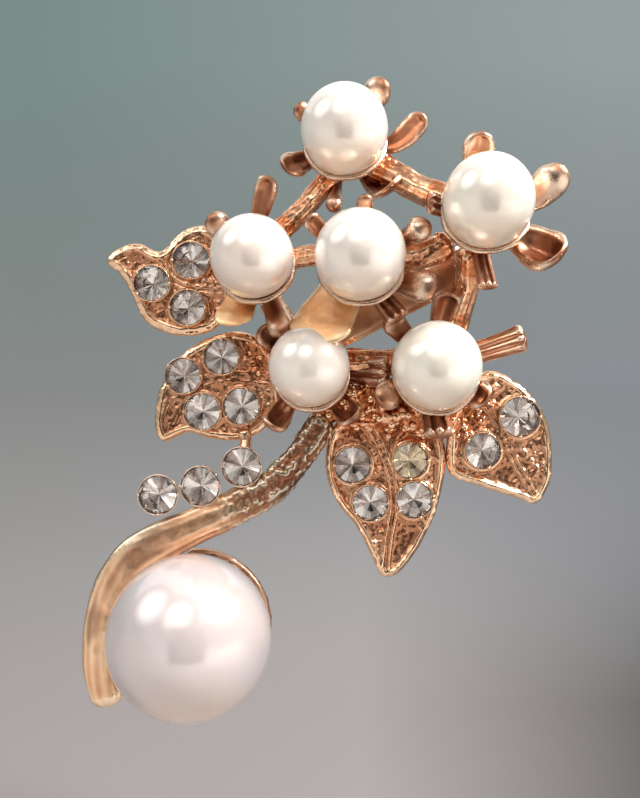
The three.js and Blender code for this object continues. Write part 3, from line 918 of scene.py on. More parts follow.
class NodeRecipe:
    """A geometry node tree with named sizes, run on a mesh and turned into a plain shape."""

    def __init__(self, name: str, sizes: dict[str, str]) -> None:
        """Starts the tree.

        Args:
            name: The tree's name.
            sizes: Each input's name and socket type.
        """
        self.tree = bpy.data.node_groups.new(name, "GeometryNodeTree")
        face = self.tree.interface
        face.new_socket("Geometry", in_out="INPUT", socket_type="NodeSocketGeometry")
        self.sockets = {
            label: face.new_socket(label, in_out="INPUT", socket_type=kind).identifier
            for label, kind in sizes.items()
        }
        face.new_socket("Geometry", in_out="OUTPUT", socket_type="NodeSocketGeometry")
        self.bench = Bench(self.tree)
        self.given = self.tree.nodes.new("NodeGroupInput")

    def finish(self, geometry: bpy.types.NodeSocket) -> None:
        """Ends the tree by making every instance real and giving it its metal.

        Args:
            geometry: What the tree has made.
        """
        real = self.bench.add("GeometryNodeRealizeInstances", {0: geometry})
        metal = self.bench.add(
            "GeometryNodeSetMaterial", {"Geometry": real.outputs[0], "Material": self.given.outputs["Metal"]}
        )
        out = self.tree.nodes.new("NodeGroupOutput")
        self.tree.links.new(metal.outputs[0], out.inputs[0])

    def run(self, mesh: bpy.types.Mesh, values: dict[str, object]) -> Shape:
        """Runs the tree once.

        Args:
            mesh: What the tree starts from.
            values: A value for each named input.

        Returns:
            The result as a plain shape.
        """
        holder = bpy.data.objects.new("recipe_holder", mesh)
        bpy.context.scene.collection.objects.link(holder)
        modifier = holder.modifiers.new("recipe", "NODES")
        modifier.node_group = self.tree
        for label, value in values.items():
            modifier[self.sockets[label]] = value
        graph = bpy.context.evaluated_depsgraph_get()
        graph.update()
        made = bpy.data.meshes.new_from_object(holder.evaluated_get(graph))
        shape = shape_of(made)
        holder.modifiers.remove(modifier)
        bpy.data.objects.remove(holder)
        bpy.data.meshes.remove(made)
        bpy.data.meshes.remove(mesh)
        return shape


class GrainScatter(NodeRecipe):
    """Small round grains of metal spread over the grainy part of a casting."""

    def __init__(self) -> None:
        """Builds the tree."""
        super().__init__(
            "scattered_grains",
            {
                "Density": "NodeSocketFloat", "Smallest": "NodeSocketFloat", "Largest": "NodeSocketFloat",
                "Seed": "NodeSocketInt", "Metal": "NodeSocketMaterial",
            },
        )
        given, bench = self.given.outputs, self.bench
        mask = bench.add("GeometryNodeInputNamedAttribute", {"Name": GRAIN_ATTRIBUTE}, data_type="FLOAT")
        where = bench.add("FunctionNodeCompare", {0: mask.outputs[0], 1: 0.5}, data_type="FLOAT")
        spread = bench.add(
            "GeometryNodeDistributePointsOnFaces",
            {
                "Mesh": given["Geometry"], "Selection": where.outputs[0], "Density": given["Density"],
                "Seed": given["Seed"],
            },
        )
        grain = bench.add("GeometryNodeMeshUVSphere", {"Segments": 8, "Rings": 5, "Radius": 1.0})
        size = bench.add(
            "FunctionNodeRandomValue", {2: given["Smallest"], 3: given["Largest"], "Seed": given["Seed"]}
        )
        placed = bench.add(
            "GeometryNodeInstanceOnPoints",
            {"Points": spread.outputs[0], "Instance": grain.outputs[0], "Scale": size.outputs[1]},
        )
        self.finish(placed.outputs[0])

    def grains(
        self, shape: Shape, density: float, sizes: tuple[float, float], seed: int, metal: bpy.types.Material
    ) -> Shape:
        """The grains on one casting.

        Args:
            shape: The casting, with its grainy points marked.
            density: Grains a square millimetre.
            sizes: The smallest and largest radius.
            seed: Fixes where they fall.
            metal: What they are made of.

        Returns:
            The grains alone.
        """
        mesh = plain_mesh("grain_bed", shape)
        mark(mesh, GRAIN_ATTRIBUTE, shape.grainy)
        return self.run(
            mesh,
            {"Density": density, "Smallest": sizes[0], "Largest": sizes[1], "Seed": seed, "Metal": metal},
        )


class BeadRing(NodeRecipe):
    """A ring of small beads, as the claws round a stone."""

    def __init__(self) -> None:
        """Builds the tree."""
        super().__init__(
            "ring_of_beads",
            {
                "Ring Radius": "NodeSocketFloat", "Bead Radius": "NodeSocketFloat",
                "Count": "NodeSocketInt", "Metal": "NodeSocketMaterial",
            },
        )
        given, bench = self.given.outputs, self.bench
        ring = bench.add(
            "GeometryNodeMeshCircle", {"Vertices": given["Count"], "Radius": given["Ring Radius"]}
        )
        bead = bench.add(
            "GeometryNodeMeshUVSphere", {"Segments": 10, "Rings": 6, "Radius": given["Bead Radius"]}
        )
        placed = bench.add(
            "GeometryNodeInstanceOnPoints", {"Points": ring.outputs[0], "Instance": bead.outputs[0]}
        )
        self.finish(placed.outputs[0])

    def beads(self, ring: float, bead: float, count: int, metal: bpy.types.Material) -> Shape:
        """Returns the ring of beads round +Z at the origin."""
        mesh = bpy.data.meshes.new("bead_bed")
        return self.run(mesh, {"Ring Radius": ring, "Bead Radius": bead, "Count": count, "Metal": metal})


class StoneRow(NodeRecipe):
    """One stone set at each marked place, facing the way that the place says."""

    def __init__(self) -> None:
        """Builds the tree."""
        super().__init__(
            "row_of_stones",
            {"Stone": "NodeSocketObject", "Size": "NodeSocketFloat", "Metal": "NodeSocketMaterial"},
        )
        given, bench = self.given.outputs, self.bench
        facing = bench.add("GeometryNodeInputNamedAttribute", {"Name": "facing"}, data_type="FLOAT_VECTOR")
        turn = bench.add("FunctionNodeAlignRotationToVector", {"Vector": facing.outputs[0]}, axis="Z")
        stone = bench.add("GeometryNodeObjectInfo", {"Object": given["Stone"]})
        placed = bench.add(
            "GeometryNodeInstanceOnPoints",
            {
                "Points": given["Geometry"], "Instance": stone.outputs["Geometry"],
                "Rotation": turn.outputs[0], "Scale": given["Size"],
            },
        )
        self.finish(placed.outputs[0])

    def stones(
        self, places: np.ndarray, facing: np.ndarray, size: float, one: Shape, metal: bpy.types.Material
    ) -> Shape:
        """The whole row.

        Args:
            places: Where each stone's girdle centre is.
            facing: The way each stone's table faces.
            size: The stones' radius.
            one: A stone of radius one, facing +Z.
            metal: What they are made of.

        Returns:
            The stones as one shape.
        """
        mesh = bpy.data.meshes.new("stone_places")
        mesh.from_pydata(places.tolist(), [], [])
        way = mesh.attributes.new("facing", "FLOAT_VECTOR", "POINT")
        way.data.foreach_set("vector", facing.astype(np.float32).ravel())
        pattern = bpy.data.objects.new("stone_pattern", plain_mesh("stone_pattern", one))
        bpy.context.scene.collection.objects.link(pattern)
        row = self.run(mesh, {"Stone": pattern, "Size": size, "Metal": metal})
        bpy.data.objects.remove(pattern)
        return row


@dataclass
class Pearl:
    """A round pearl, drilled from behind for its peg."""

    name: str
    node: str
    slot: str
    centre: Sequence[float]
    radius: float
    oval: tuple[float, float] = (1.0, 1.0)
    peg: float = 0.53
    depth_share: float = 0.6
    sides: int = 96

    def build(self) -> Shape:
        """Returns the pearl's shape."""
        mouth = math.asin(self.peg / self.radius)
        floor = self.radius * math.cos(mouth) - self.radius * self.depth_share
        profile = [(AXIS_HOLE, floor), (self.peg, floor), (self.peg, self.radius * math.cos(mouth) - 0.05)]
        for share in np.linspace(0, 1, self.sides // 2 + 8):
            turn = mouth + 0.012 + (math.pi - mouth - 0.012) * share
            profile.append((max(self.radius * math.sin(turn), AXIS_HOLE), self.radius * math.cos(turn)))
        ball = revolved(profile, self.sides).aimed((0, 1, 0))
        ball.points = ball.points * (self.oval[0], 1.0, self.oval[1])
        return ball.moved(self.centre)

    def dress(self, material: bpy.types.Material) -> None:
        """Makes the pearl and marks its underside, where the finish paints a warm reflection of the gold
        below.

        Args:
            material: Its lustre.
        """
        ball = self.build()
        made = Piece(self.name, [self.node], self.slot).put(ball, material)
        # How far below its middle each point lies, for the painted warm reflection underneath.
        below = (self.centre[2] - ball.points[:, 2]) / self.radius
        mark(made.data, WARM_BOUNCE_ATTRIBUTE, ease(below, 0.25, 0.95))


class PetalStyle(Enum):
    """How a petal is shaped, from its root to its tip."""

    OVAL = "oval"
    CURLED = "curled"
    FLUTED = "fluted"
    KNOB = "knob"
    PLATE = "plate"
    DOME = "dome"


@dataclass
class Petal:
    """One petal of a flower cup, a solid cast lobe that comes forward beside the pearl."""

    turn: float
    reach: float
    half_width: float
    style: PetalStyle
    lean: float = 0.0
    roll: float = 0.0
    rows: int = 48
    columns: int = 44

    def _spread(self, run: np.ndarray) -> np.ndarray:
        """How wide the petal is along its length.

        Args:
            run: Places from root to tip, nought to one.

        Returns:
            The half width there, as a share of the widest.
        """
        if self.style is PetalStyle.KNOB:
            return 0.62 + 0.38 * bell(run - 0.84, 0.2)
        if self.style is PetalStyle.FLUTED:
            return 0.66 + 0.34 * run
        root = 0.78 if self.style is PetalStyle.PLATE else 0.56
        return root + (1 - root) * ease(run, 0.1, 0.78)

    def _half_depth(self, spread: np.ndarray) -> np.ndarray:
        """Returns half the petal's thickness along it."""
        share = {PetalStyle.KNOB: 0.95, PetalStyle.DOME: 0.62, PetalStyle.PLATE: 0.2, PetalStyle.FLUTED: 0.42}
        return np.maximum(share.get(self.style, 0.5) * self.half_width * spread, 0.3)

    def _tip(self, run: np.ndarray, length: float) -> np.ndarray:
        """How the petal rounds off at its tip.

        Args:
            run: Places from root to tip, nought to one.
            length: The petal's length.

        Returns:
            One along the petal, nought at its end.
        """
        blunt = {PetalStyle.FLUTED: 0.35, PetalStyle.PLATE: 0.8}.get(self.style, 1.0)
        near = np.clip((1 - run) * length / (blunt * self.half_width), 0.004, 1)
        return np.sqrt(1 - (1 - near) ** 2)

    def _line(self, centre: np.ndarray, radius: float) -> np.ndarray:
        """The petal's middle line, from behind the pearl to its tip.

        Args:
            centre: The pearl's centre.
            radius: The pearl's radius.

        Returns:
            Even points along the line.
        """
        forward = 0.05 if self.style is PetalStyle.CURLED else 0.28
        knots = []
        for share, depth in ((0.24, 1.06), (0.62, 0.82), (0.86, 0.5), (1.0, forward)):
            angle = math.radians(self.turn - self.lean * (1 - share))
            out = np.array([math.cos(angle), 0.0, math.sin(angle)])
            knots.append(centre + out * share * self.reach + (0.0, depth * radius, 0.0))
        return smooth_line(knots, 200)

    def build(self, centre: np.ndarray, radius: float) -> Shape:
        """The petal's shape.

        Args:
            centre: The pearl's centre.
            radius: The pearl's radius.

        Returns:
            The closed petal.
        """
        fine = self._line(centre, radius)
        length = run_along(fine)[-1] - 0.5 * self._half_depth(np.ones(1))[0]
        run = 1 - (1 - np.linspace(0, 1, self.rows)) ** 2
        line = np.column_stack([np.interp(run, np.linspace(0, 1, len(fine)), fine[:, k]) for k in range(3)])
        along = unit(np.gradient(line, axis=0))
        flat = unit(np.cross(along, (0.0, 1.0, 0.0)))
        front = np.cross(along, flat)
        if front[0] @ (0, 1, 0) > 0:
            front = -front
        roll = math.radians(self.roll)
        side = flat * math.cos(roll) - front * math.sin(roll)
        face = front * math.cos(roll) + flat * math.sin(roll)
        spread = self._spread(run)
        tip = self._tip(run, length)
        turn = full_turn(self.columns)[None, :]
        wide = (self.half_width * spread * tip)[:, None] * np.cos(turn)
        deep = (self._half_depth(spread) * tip)[:, None] * (np.sin(turn) * self._section(run[:, None], turn))
        return capped(line[:, None] + side[:, None] * wide[..., None] + face[:, None] * deep[..., None])

    def _section(self, run: np.ndarray, turn: np.ndarray) -> np.ndarray:
        """How the front of the petal is hollowed or ribbed.

        Args:
            run: Places from root to tip, nought to one.
            turn: Places round the section, in radians.

        Returns:
            The share by which the skin stands out.
        """
        across = np.cos(turn)
        in_front = ease(np.sin(turn), 0.0, 0.35)
        if self.style is PetalStyle.FLUTED:
            return 1 + 0.34 * np.cos(3.5 * math.pi * across) * in_front
        if self.style in (PetalStyle.KNOB, PetalStyle.DOME, PetalStyle.PLATE):
            return np.ones_like(across)
        hollow = 1.35 if self.style is PetalStyle.CURLED else 0.85
        return 1 - hollow * bell(across, 0.62) * in_front * ease(run, 0.2, 0.55) * (1 - ease(run, 0.9, 1.0))


@dataclass
class FlowerCup:
    """The dish, peg and petals that hold one small pearl."""

    name: str
    centre: Sequence[float]
    radius: float
    petals: Sequence[Petal]
    wall: float = 0.5
    opening: float = 58.0
    lip: float = 0.45
    lip_turn: float = 288.0
    peg_radius: float = 0.45

    def dish(self) -> Shape:
        """Returns the dish behind the pearl, with its peg."""
        inner = self.radius + SOLDER_GAP
        outer = inner + self.wall
        rim = math.radians(self.opening)
        start = math.asin(self.peg_radius / inner)
        profile = [(AXIS_HOLE, self.radius * 0.45), (self.peg_radius, self.radius * 0.45)]
        for share in np.linspace(0, 1, 18):
            turn = start + (rim - start) * share
            profile.append((inner * math.sin(turn), inner * math.cos(turn)))
        middle = (inner + outer) / 2
        profile.append((middle * math.sin(rim + 0.05), middle * math.cos(rim + 0.05)))
        for share in np.linspace(1, 0, 20):
            turn = rim * share
            profile.append((max(outer * math.sin(turn), AXIS_HOLE), outer * math.cos(turn)))
        dish = revolved(profile, 72)
        waves = 1 + 0.035 * np.sin(9 * np.arctan2(dish.points[:, 1], dish.points[:, 0]))
        far = np.linalg.norm(dish.points, axis=1)
        dish.points[far > middle] *= waves[far > middle][:, None]
        round_about = np.arctan2(-dish.points[:, 1], dish.points[:, 0])
        off = np.angle(np.exp(1j * (round_about - math.radians(self.lip_turn))))
        tilt = np.arccos(np.clip(dish.points[:, 2] / far, -1, 1))
        stretched = tilt * (1 + self.lip * bell(off, 1.05) * (far > 0.9 * inner))
        out = far * np.sin(stretched)
        dish.points = np.column_stack(
            [out * np.cos(round_about), -out * np.sin(round_about), far * np.cos(stretched)]
        )
        return dish.aimed((0, 1, 0)).moved(self.centre)

    def build(self) -> tuple[Shape, np.ndarray]:
        """Returns the cup's shape, and one for each triangle of a flat plate petal."""
        centre = np.asarray(self.centre, float)
        petals = [petal.build(centre, self.radius) for petal in self.petals]
        dish = self.dish()
        flat = [np.zeros(len(dish.triangles))]
        for petal, shape in zip(self.petals, petals):
            flat.append(np.full(len(shape.triangles), float(petal.style is PetalStyle.PLATE)))
        return joined([dish, SKIN.cover(joined(petals), 0.07, 1.5, 0.0, 1.0)]), np.concatenate(flat)

    def dress(self, looks: Finishes) -> None:
        """Makes the cup, its flat plates in yellow satin.

        Args:
            looks: Every finish.
        """
        shape, flat = self.build()
        piece = Piece(f"{self.name}_flower_cup", [f"cup_{self.name}"], "rose_gold_cast")
        piece.put(shape, looks.petal_cast, looks.plate_satin, faces=flat)


@dataclass
class Twig:
    """A short stranded twig between two flowers or leaves."""

    name: str
    knots: Rows
    radius: float
    strands: int = 3
    twist: float = 0.8

    def build(self) -> Shape:
        """Returns the twig's shape, marked grainy near its ends."""
        line = smooth_line(self.knots, 74)
        total = run_along(line)[-1]
        share = np.linspace(0, 1, len(line))
        widths = self.radius * (1 + 0.16 * np.abs(2 * share - 1) ** 3)

        def strand(run: np.ndarray, turn: np.ndarray) -> np.ndarray:
            """The strands that wind along the twig.

            Args:
                run: How far along.
                turn: How far round.

            Returns:
                The share by which the skin stands out.
            """
            wind = self.strands * turn + 0.5 * np.sin(self.twist * run)
            fine = 0.03 * np.cos(11 * turn + 0.9 * np.sin(1.3 * run))
            return 0.2 * np.abs(np.cos(wind / 2.0)) - 0.08 + fine

        body = tube(line, widths, widths * 0.95, 56, strand)
        body = SKIN.cover(body, 0.1, 1.4, 0.04, 0.5)
        first = np.linalg.norm(body.points - line[0], axis=1)
        last = np.linalg.norm(body.points - line[-1], axis=1)
        body.grainy = (np.minimum(first, last) < 0.3 * total).astype(float)
        return body

    def dress(self, material: bpy.types.Material, scatter: GrainScatter, seed: int) -> None:
        """Makes the twig, with grains at its ends.

        Args:
            material: Its metal.
            scatter: Spreads the grains.
            seed: Fixes where they fall.
        """
        body = self.build()
        grains = scatter.grains(body, 0.4, (0.12, 0.24), seed, material)
        piece = Piece(f"{self.name}_twig", [f"twig_{self.name}"], "rose_gold_cast")
        piece.put(joined([body, grains]), material)


@dataclass
class ForkNugget:
    """The rough cast lump where the stem, the leaves and the spray come together."""

    knots: Rows = (
        (-0.6, -1.2, -0.3, 1.3, 0.75), (3.6, -1.7, -0.6, 1.9, 1.0), (8.0, -2.1, -0.8, 2.0, 1.0),
        (12.0, -2.3, -1.4, 1.5, 0.9),
    )

    def dress(self, material: bpy.types.Material, scatter: GrainScatter) -> None:
        """Makes the lump and its grains.

        Args:
            material: Its metal.
            scatter: Spreads the grains.
        """
        line = smooth_line(self.knots, 120)
        body = tube(line[:, :3], line[:, 3], line[:, 4], 72)
        body = SKIN.cover(body, 0.42, 1.5, 0.34, 0.8)
        body.grainy = ease(-body.points[:, 1], 0.6, 1.4)
        grains = scatter.grains(body, 0.7, (0.2, 0.48), 5, material)
        Piece("fork_casting", ["fork_nugget"], "rose_gold_cast").put(joined([body, grains]), material)


@dataclass
class MainStem:
    """The thick curved stem that runs from the fork round the large pearl."""

    path: Rows = (
        (0.4, -1.5, -1.4, 1.1), (-1.3, -1.8, -4.6, 1.1), (-4.2, -2.0, -7.9, 1.2), (-6.6, -2.2, -9.5, 1.35),
        (-9.0, -2.3, -10.7, 1.45), (-11.9, -2.4, -12.0, 1.45), (-14.7, -2.5, -13.3, 1.65),
        (-17.3, -2.7, -14.9, 1.75), (-19.2, -2.9, -17.3, 1.65), (-20.2, -3.0, -20.0, 1.55),
        (-20.6, -3.0, -23.2, 1.5), (-20.4, -3.0, -26.0, 1.5), (-19.7, -3.0, -28.9, 1.2),
    )
    half_depth: float = 1.15
    fullness: float = 1.18
    sides: int = 84
    knotty_until: float = 9.0
    smooth_from: float = 17.0

    def build(self) -> Shape:
        """Returns the stem's shape, knotty above and smooth below."""
        rows = smooth_line(self.path, 340)
        line, widths = rows[:, :3], rows[:, 3] * self.fullness
        run = run_along(line)
        knotty = 1 - ease(run, self.knotty_until, self.smooth_from)
        depths = np.full(len(line), self.half_depth)

        def flow(run: np.ndarray, turn: np.ndarray) -> np.ndarray:
            """The long shallow ridges that follow the stem.

            Args:
                run: How far along.
                turn: How far round.

            Returns:
                The share by which the skin stands out.
            """
            wander = 0.5 * np.sin(run * 0.35) + 0.2 * np.sin(run * 0.9)
            low = 0.03 * np.cos(3 * turn + wander) + 0.025 * np.cos(5 * turn - 1.4 * wander)
            fine = 0.014 * np.cos(13 * turn + 2.2 * wander)
            bark = 0.05 * np.cos(7 * turn + run * 0.8)
            return low + fine + bark * (1 - ease(run, self.knotty_until, self.smooth_from))

        body = tube(line, widths, depths, self.sides, flow, square=0.86)
        rough = SKIN.cover(body, 0.16, 1.1, 0.14, 0.55)
        soft = SKIN.cover(body, 0.05, 1.8, 0.0, 1.0)
        share = np.concatenate([np.repeat(knotty, self.sides), [knotty[0], knotty[-1]]])
        points = rough.points * share[:, None] + soft.points * (1 - share[:, None])
        turn = np.tile(full_turn(self.sides), len(line))
        drawn = np.column_stack([np.repeat(run, self.sides) / 5.0, np.cos(turn) * 2.2, np.sin(turn) * 2.2])
        streak = np.concatenate([ease(SKIN.hills(drawn, 1.0), 0.05, 0.6), [0.0, 0.0]])
        ruddy = share * (0.85 + 0.15 * SKIN.hills(points, 2.5)) + (1 - share) * 0.55 * streak
        return Shape(points, body.triangles, np.clip(ruddy, 0, 1))

    def dress(self, material: bpy.types.Material) -> None:
        """Makes the piece in that finish."""
        Piece("curved_stem", ["main_stem"], "satin_gold").put(self.build(), material)


def round_stone(radius: float) -> tuple[Shape, np.ndarray]:
    """A round cut stone facing +Z with its girdle at nought, foiled underneath.

    Args:
        radius: The stone's radius.

    Returns:
        The stone, and one for each triangle that the foil covers.
    """
    half_step = math.pi / 8
    table_out, table_up, culet_down = 0.46, 0.30, 0.86
    crown_edge, belly_edge = 0.11, -0.05
    chord = math.cos(half_step)
    crown_mid = table_up + (1 - table_out) * (crown_edge - table_up) / (chord - table_out)
    belly_mid = (belly_edge + culet_down) / chord - culet_down

    def ring(out: float, heights: Sequence[float]) -> np.ndarray:
        """Returns one ring of corners."""
        turn = np.arange(len(heights)) * 2 * math.pi / len(heights)
        return np.column_stack([out * np.cos(turn), out * np.sin(turn), heights]) * radius

    table = ring(table_out, [table_up] * 8)
    top = ring(1.0, [crown_mid, crown_edge] * 8)
    low = ring(1.0, [belly_mid, belly_edge] * 8)
    tips = np.array([[0.0, 0.0, -culet_down], [0.0, 0.0, table_up]]) * radius
    crown, under = [], []
    for k in range(8):
        after, before = (k + 1) % 8, (2 * k - 1) % 16
        crown.append((41, k, after))
        crown.append((k, 9 + 2 * k, after))
        crown.append((k, 8 + before, 8 + 2 * k))
        crown.append((k, 8 + 2 * k, 9 + 2 * k))
        under.append((24 + before, 40, 24 + 2 * k))
        under.append((24 + 2 * k, 40, 25 + 2 * k))
    for k in range(16):
        after = (k + 1) % 16
        crown.append((8 + k, 24 + k, 24 + after))
        crown.append((8 + k, 24 + after, 8 + after))
    foiled = np.repeat([0, 1], [len(crown), len(under)])
    return outward(Shape(np.vstack([table, top, low, tips]), np.array(crown + under))), foiled


@dataclass
class SetStone:
    """One round stone with its foil."""

    name: str
    nodes: Sequence[str]
    slot: str
    girdle: Sequence[float]
    radius: float
    facing: Sequence[float] = (0.0, -1.0, 0.0)
    spin: float = 0.0

    def dress(self, glass: bpy.types.Material, foil: bpy.types.Material) -> None:
        """Makes the stone, its foil facets painted bright or dim to stand in for the light and dark sectors
        that reflections give.

        Args:
            glass: What the stone is cut from.
            foil: What is painted underneath.
        """
        stone, foiled = round_stone(self.radius)
        turn = np.array(Matrix.Rotation(self.spin, 3, "Z"))
        stone.points = stone.points @ turn.T
        stone = stone.aimed(unit(np.array(self.facing, float))).moved(self.girdle)
        made = Piece(self.name, self.nodes, self.slot, smooth=False).put(stone, glass, foil, faces=foiled)
        draw = np.random.default_rng(int(round(100 * abs(self.girdle[0] + self.girdle[2]))))
        # Painted reflection: about two thirds of the foil facets are painted bright, the rest dim.
        shine = np.where(draw.random(16) < 0.68, 0.85, 0.0) + 0.15 * draw.random(16)
        marks = foiled.astype(np.float32)
        marks[foiled == 1] = shine
        mark(made.data, FACET_ATTRIBUTE, marks, "FACE")


@dataclass
class Vein:
    """A raised line on a leaf."""

    knots: Rows
    width: float = 0.17
    height: float = 0.34
    apart: float = 0.0


@dataclass
class Leaf:
    """A cast leaf with a raised rim, veins, a rough field and a few set stones."""

    name: str
    outline: Rows
    veins: Sequence[Vein]
    stones: Rows
    front: float
    back: float
    bow: float = 0.0
    seed: int = 1
    smooth_spots: Rows = ()
    grain_spots: Rows = ()
    links: Rows = ()
    step: float = 0.135
    rim_in: float = 0.45
    rim_width: float = 0.32
    rim_height: float = 0.42
    collar: float = 0.12
    girdle_in: float = 0.25

    def _inside(self, edge: np.ndarray, step: float) -> tuple[np.ndarray, np.ndarray]:
        """Fills the outline with points and triangles.

        Args:
            edge: The outline's points.
            step: The spacing of the points inside.

        Returns:
            All the flat points, the outline's first, and the triangles.
        """
        low, high = edge.min(0), edge.max(0)
        rows = np.arange(low[1], high[1], step * 0.866)
        grid = []
        for number, z in enumerate(rows):
            x = np.arange(low[0] + (number % 2) * step / 2, high[0], step)
            grid.append(np.column_stack([x, np.full(len(x), z)]))
        grid = np.vstack(grid)
        loop = np.vstack([edge, edge[:1]])
        grid = grid[self._within(loop, grid)]
        grid = grid[distance_to(loop, grid) > step * 0.6]
        flat = np.vstack([edge, grid])
        ties = [(k, (k + 1) % len(edge)) for k in range(len(edge))]
        corners = [Vector(p) for p in flat.tolist()]
        made = delaunay_2d_cdt(corners, ties, [], 1, 1e-6)
        return np.array([tuple(p) for p in made[0]]), np.array([tuple(f) for f in made[2]])

    @staticmethod
    def _within(loop: np.ndarray, points: np.ndarray) -> np.ndarray:
        """Which points are inside a loop.

        Args:
            loop: The closed loop.
            points: The flat points.

        Returns:
            True for each point inside.
        """
        inside = np.zeros(len(points), bool)
        for a, b in zip(loop[:-1], loop[1:]):
            crossing = (a[1] > points[:, 1]) != (b[1] > points[:, 1])
            reach = (b[0] - a[0]) * (points[:, 1] - a[1]) / ((b[1] - a[1]) or 1e-12) + a[0]
            inside ^= crossing & (points[:, 0] < reach)
        return inside

    def _heights(self, flat: np.ndarray, edge: np.ndarray) -> np.ndarray:
        """How far the front stands forward of the leaf's front plane.

        Args:
            flat: Points on the leaf, as X and Z.
            edge: The leaf's outline.

        Returns:
            One height a point.
        """
        loop = np.vstack([edge, edge[:1]])
        inset = distance_to(loop, flat)
        solid = np.column_stack([flat[:, 0], np.full(len(flat), 3.0 * self.seed), flat[:, 1]])
        raised = self.rim_height * bell(inset - self.rim_in, self.rim_width)
        for vein in self.veins:
            away = distance_to(smooth_line(vein.knots, 60), flat)
            if vein.apart:
                away = np.abs(away - vein.apart)
            raised = np.maximum(raised, vein.height * bell(away, vein.width))
        field_part = 1 - ease(raised, 0.08, 0.3)
        calm = np.ones(len(flat))
        for x, z, reach in self.smooth_spots:
            calm *= 1 - 0.85 * bell(np.hypot(flat[:, 0] - x, flat[:, 1] - z), reach)
        texture = 0.15 * SKIN.grains(solid, 0.8) + 0.13 * SKIN.grains(solid, 0.46)
        texture += 0.1 * SKIN.hills(solid, 1.1)
        height = -self.rim_height + raised + texture * (0.1 + 0.9 * field_part) * calm
        height += 0.1 * SKIN.hills(solid + 5.0, 2.0) + 0.04 * SKIN.hills(solid + 9.0, 0.5)
        for x, z, radius in self.stones:
            reach = np.hypot(flat[:, 0] - x, flat[:, 1] - z)
            shoulder = -0.16 * ease(reach, radius + 0.2, radius + 0.55) - 0.12
            height = np.maximum(height, shoulder - 9.0 * ease(reach, radius + 0.45, radius + 0.8))
            pocket = 0.16 - 0.80 * (radius + 0.12 - reach)
            height = np.where(reach < radius + 0.1, np.minimum(height, pocket - 0.3), height)
        return height - 0.16 * bell(inset, 0.1)

    def build(self) -> Shape:
        """Returns the leaf's plate, with its grainy places marked."""
        rough = smooth_line(self.outline, 400, closed=True)
        length = np.linalg.norm(np.diff(np.vstack([rough, rough[:1]]), axis=0), axis=1).sum()
        edge = smooth_line(self.outline, int(length / self.step), closed=True)
        flat, faces = self._inside(edge, self.step)
        height = self._heights(flat, edge)
        bend = self._bend(flat)
        limit = self.back - 0.12
        y = np.minimum(self.front - height, limit) + bend
        top = np.column_stack([flat[:, 0], y, flat[:, 1]])
        flat_back, faces_back = self._inside(edge, self.step * 3.2)
        base = np.column_stack([flat_back[:, 0], self.back + self._bend(flat_back), flat_back[:, 1]])
        rim = np.arange(len(edge))
        after = np.roll(rim, -1)
        centre = edge.mean(0)
        out = unit(edge - centre)
        middle = 0.5 * (y[rim] + base[rim, 1])
        waist = np.column_stack([edge[:, 0] + 0.05 * out[:, 0], middle, edge[:, 1] + 0.05 * out[:, 1]])
        n_top, n_base = len(top), len(base)
        w, b = n_top + n_base, n_top
        walls = [
            np.column_stack([rim, after, after + w]), np.column_stack([rim, after + w, rim + w]),
            np.column_stack([rim + w, after + w, after + b]),
            np.column_stack([rim + w, after + b, rim + b]),
        ]
        points = np.vstack([top, base, waist])
        faces = self._facing(flat, faces)
        faces_back = self._facing(flat_back, faces_back)
        area = edge[:, 0] @ np.roll(edge[:, 1], -1) - edge[:, 1] @ np.roll(edge[:, 0], -1)
        walls = np.vstack(walls)
        if area > 0:
            walls = walls[:, ::-1]
        shape = Shape(points, np.vstack([faces, faces_back[:, ::-1] + n_top, walls]))
        shape.grainy = np.zeros(len(points))
        for x, z, reach in self.grain_spots:
            shape.grainy[:n_top] += bell(np.hypot(flat[:, 0] - x, flat[:, 1] - z), reach)
        clear = np.ones(n_top)
        for x, z, radius in self.stones:
            clear *= np.hypot(flat[:, 0] - x, flat[:, 1] - z) > radius + 0.3
        shape.grainy[:n_top] = np.clip(shape.grainy[:n_top], 0, 1) * clear
        return outward(shape)

    @staticmethod
    def _facing(flat: np.ndarray, faces: np.ndarray) -> np.ndarray:
        """Winds triangles so that they all face -Y.

        Args:
            flat: The flat points.
            faces: The triangles.

        Returns:
            The triangles, wound alike.
        """
        a, b, c = (flat[faces[:, k]] for k in range(3))
        turn = (b[:, 0] - a[:, 0]) * (c[:, 1] - a[:, 1]) - (b[:, 1] - a[:, 1]) * (c[:, 0] - a[:, 0])
        faces = faces.copy()
        faces[turn < 0] = faces[turn < 0][:, ::-1]
        return faces

    def _bend(self, flat: np.ndarray) -> np.ndarray:
        """Returns how far the whole leaf bows back at each point."""
        spine = smooth_line(self.veins[0].knots, 60)
        return self.bow * (distance_to(spine, flat) / 4.0) ** 2

    def collars(self, beads: BeadRing, metal: bpy.types.Material) -> Shape:
        """The thin collar and the claws round every stone.

        Args:
            beads: Makes the claws.
            metal: What they are made of.

        Returns:
            All of them as one shape.
        """
        parts = []
        for number, (x, z, radius) in enumerate(self.stones):
            inner, outer = radius + 0.03, radius + 0.03 + self.collar
            profile = [
                (inner, 0.06), (inner + 0.03, 0.10), (outer - 0.04, 0.09), (outer, 0.03),
                (outer + 0.1, -0.55), (inner - 0.02, -0.55),
            ]
            ring = revolved(profile, 48, hoop=True)
            claws = beads.beads(radius + 0.05, 0.17, 4 + number % 2, metal).moved((0.0, 0.0, 0.16))
            bend = float(self._bend(np.array([[x, z]]))[0])
            girdle = (x, self.front - self.girdle_in + bend, z)
            parts.append(joined([ring, claws]).aimed((0, -1, 0)).moved(girdle))
        return joined(parts)

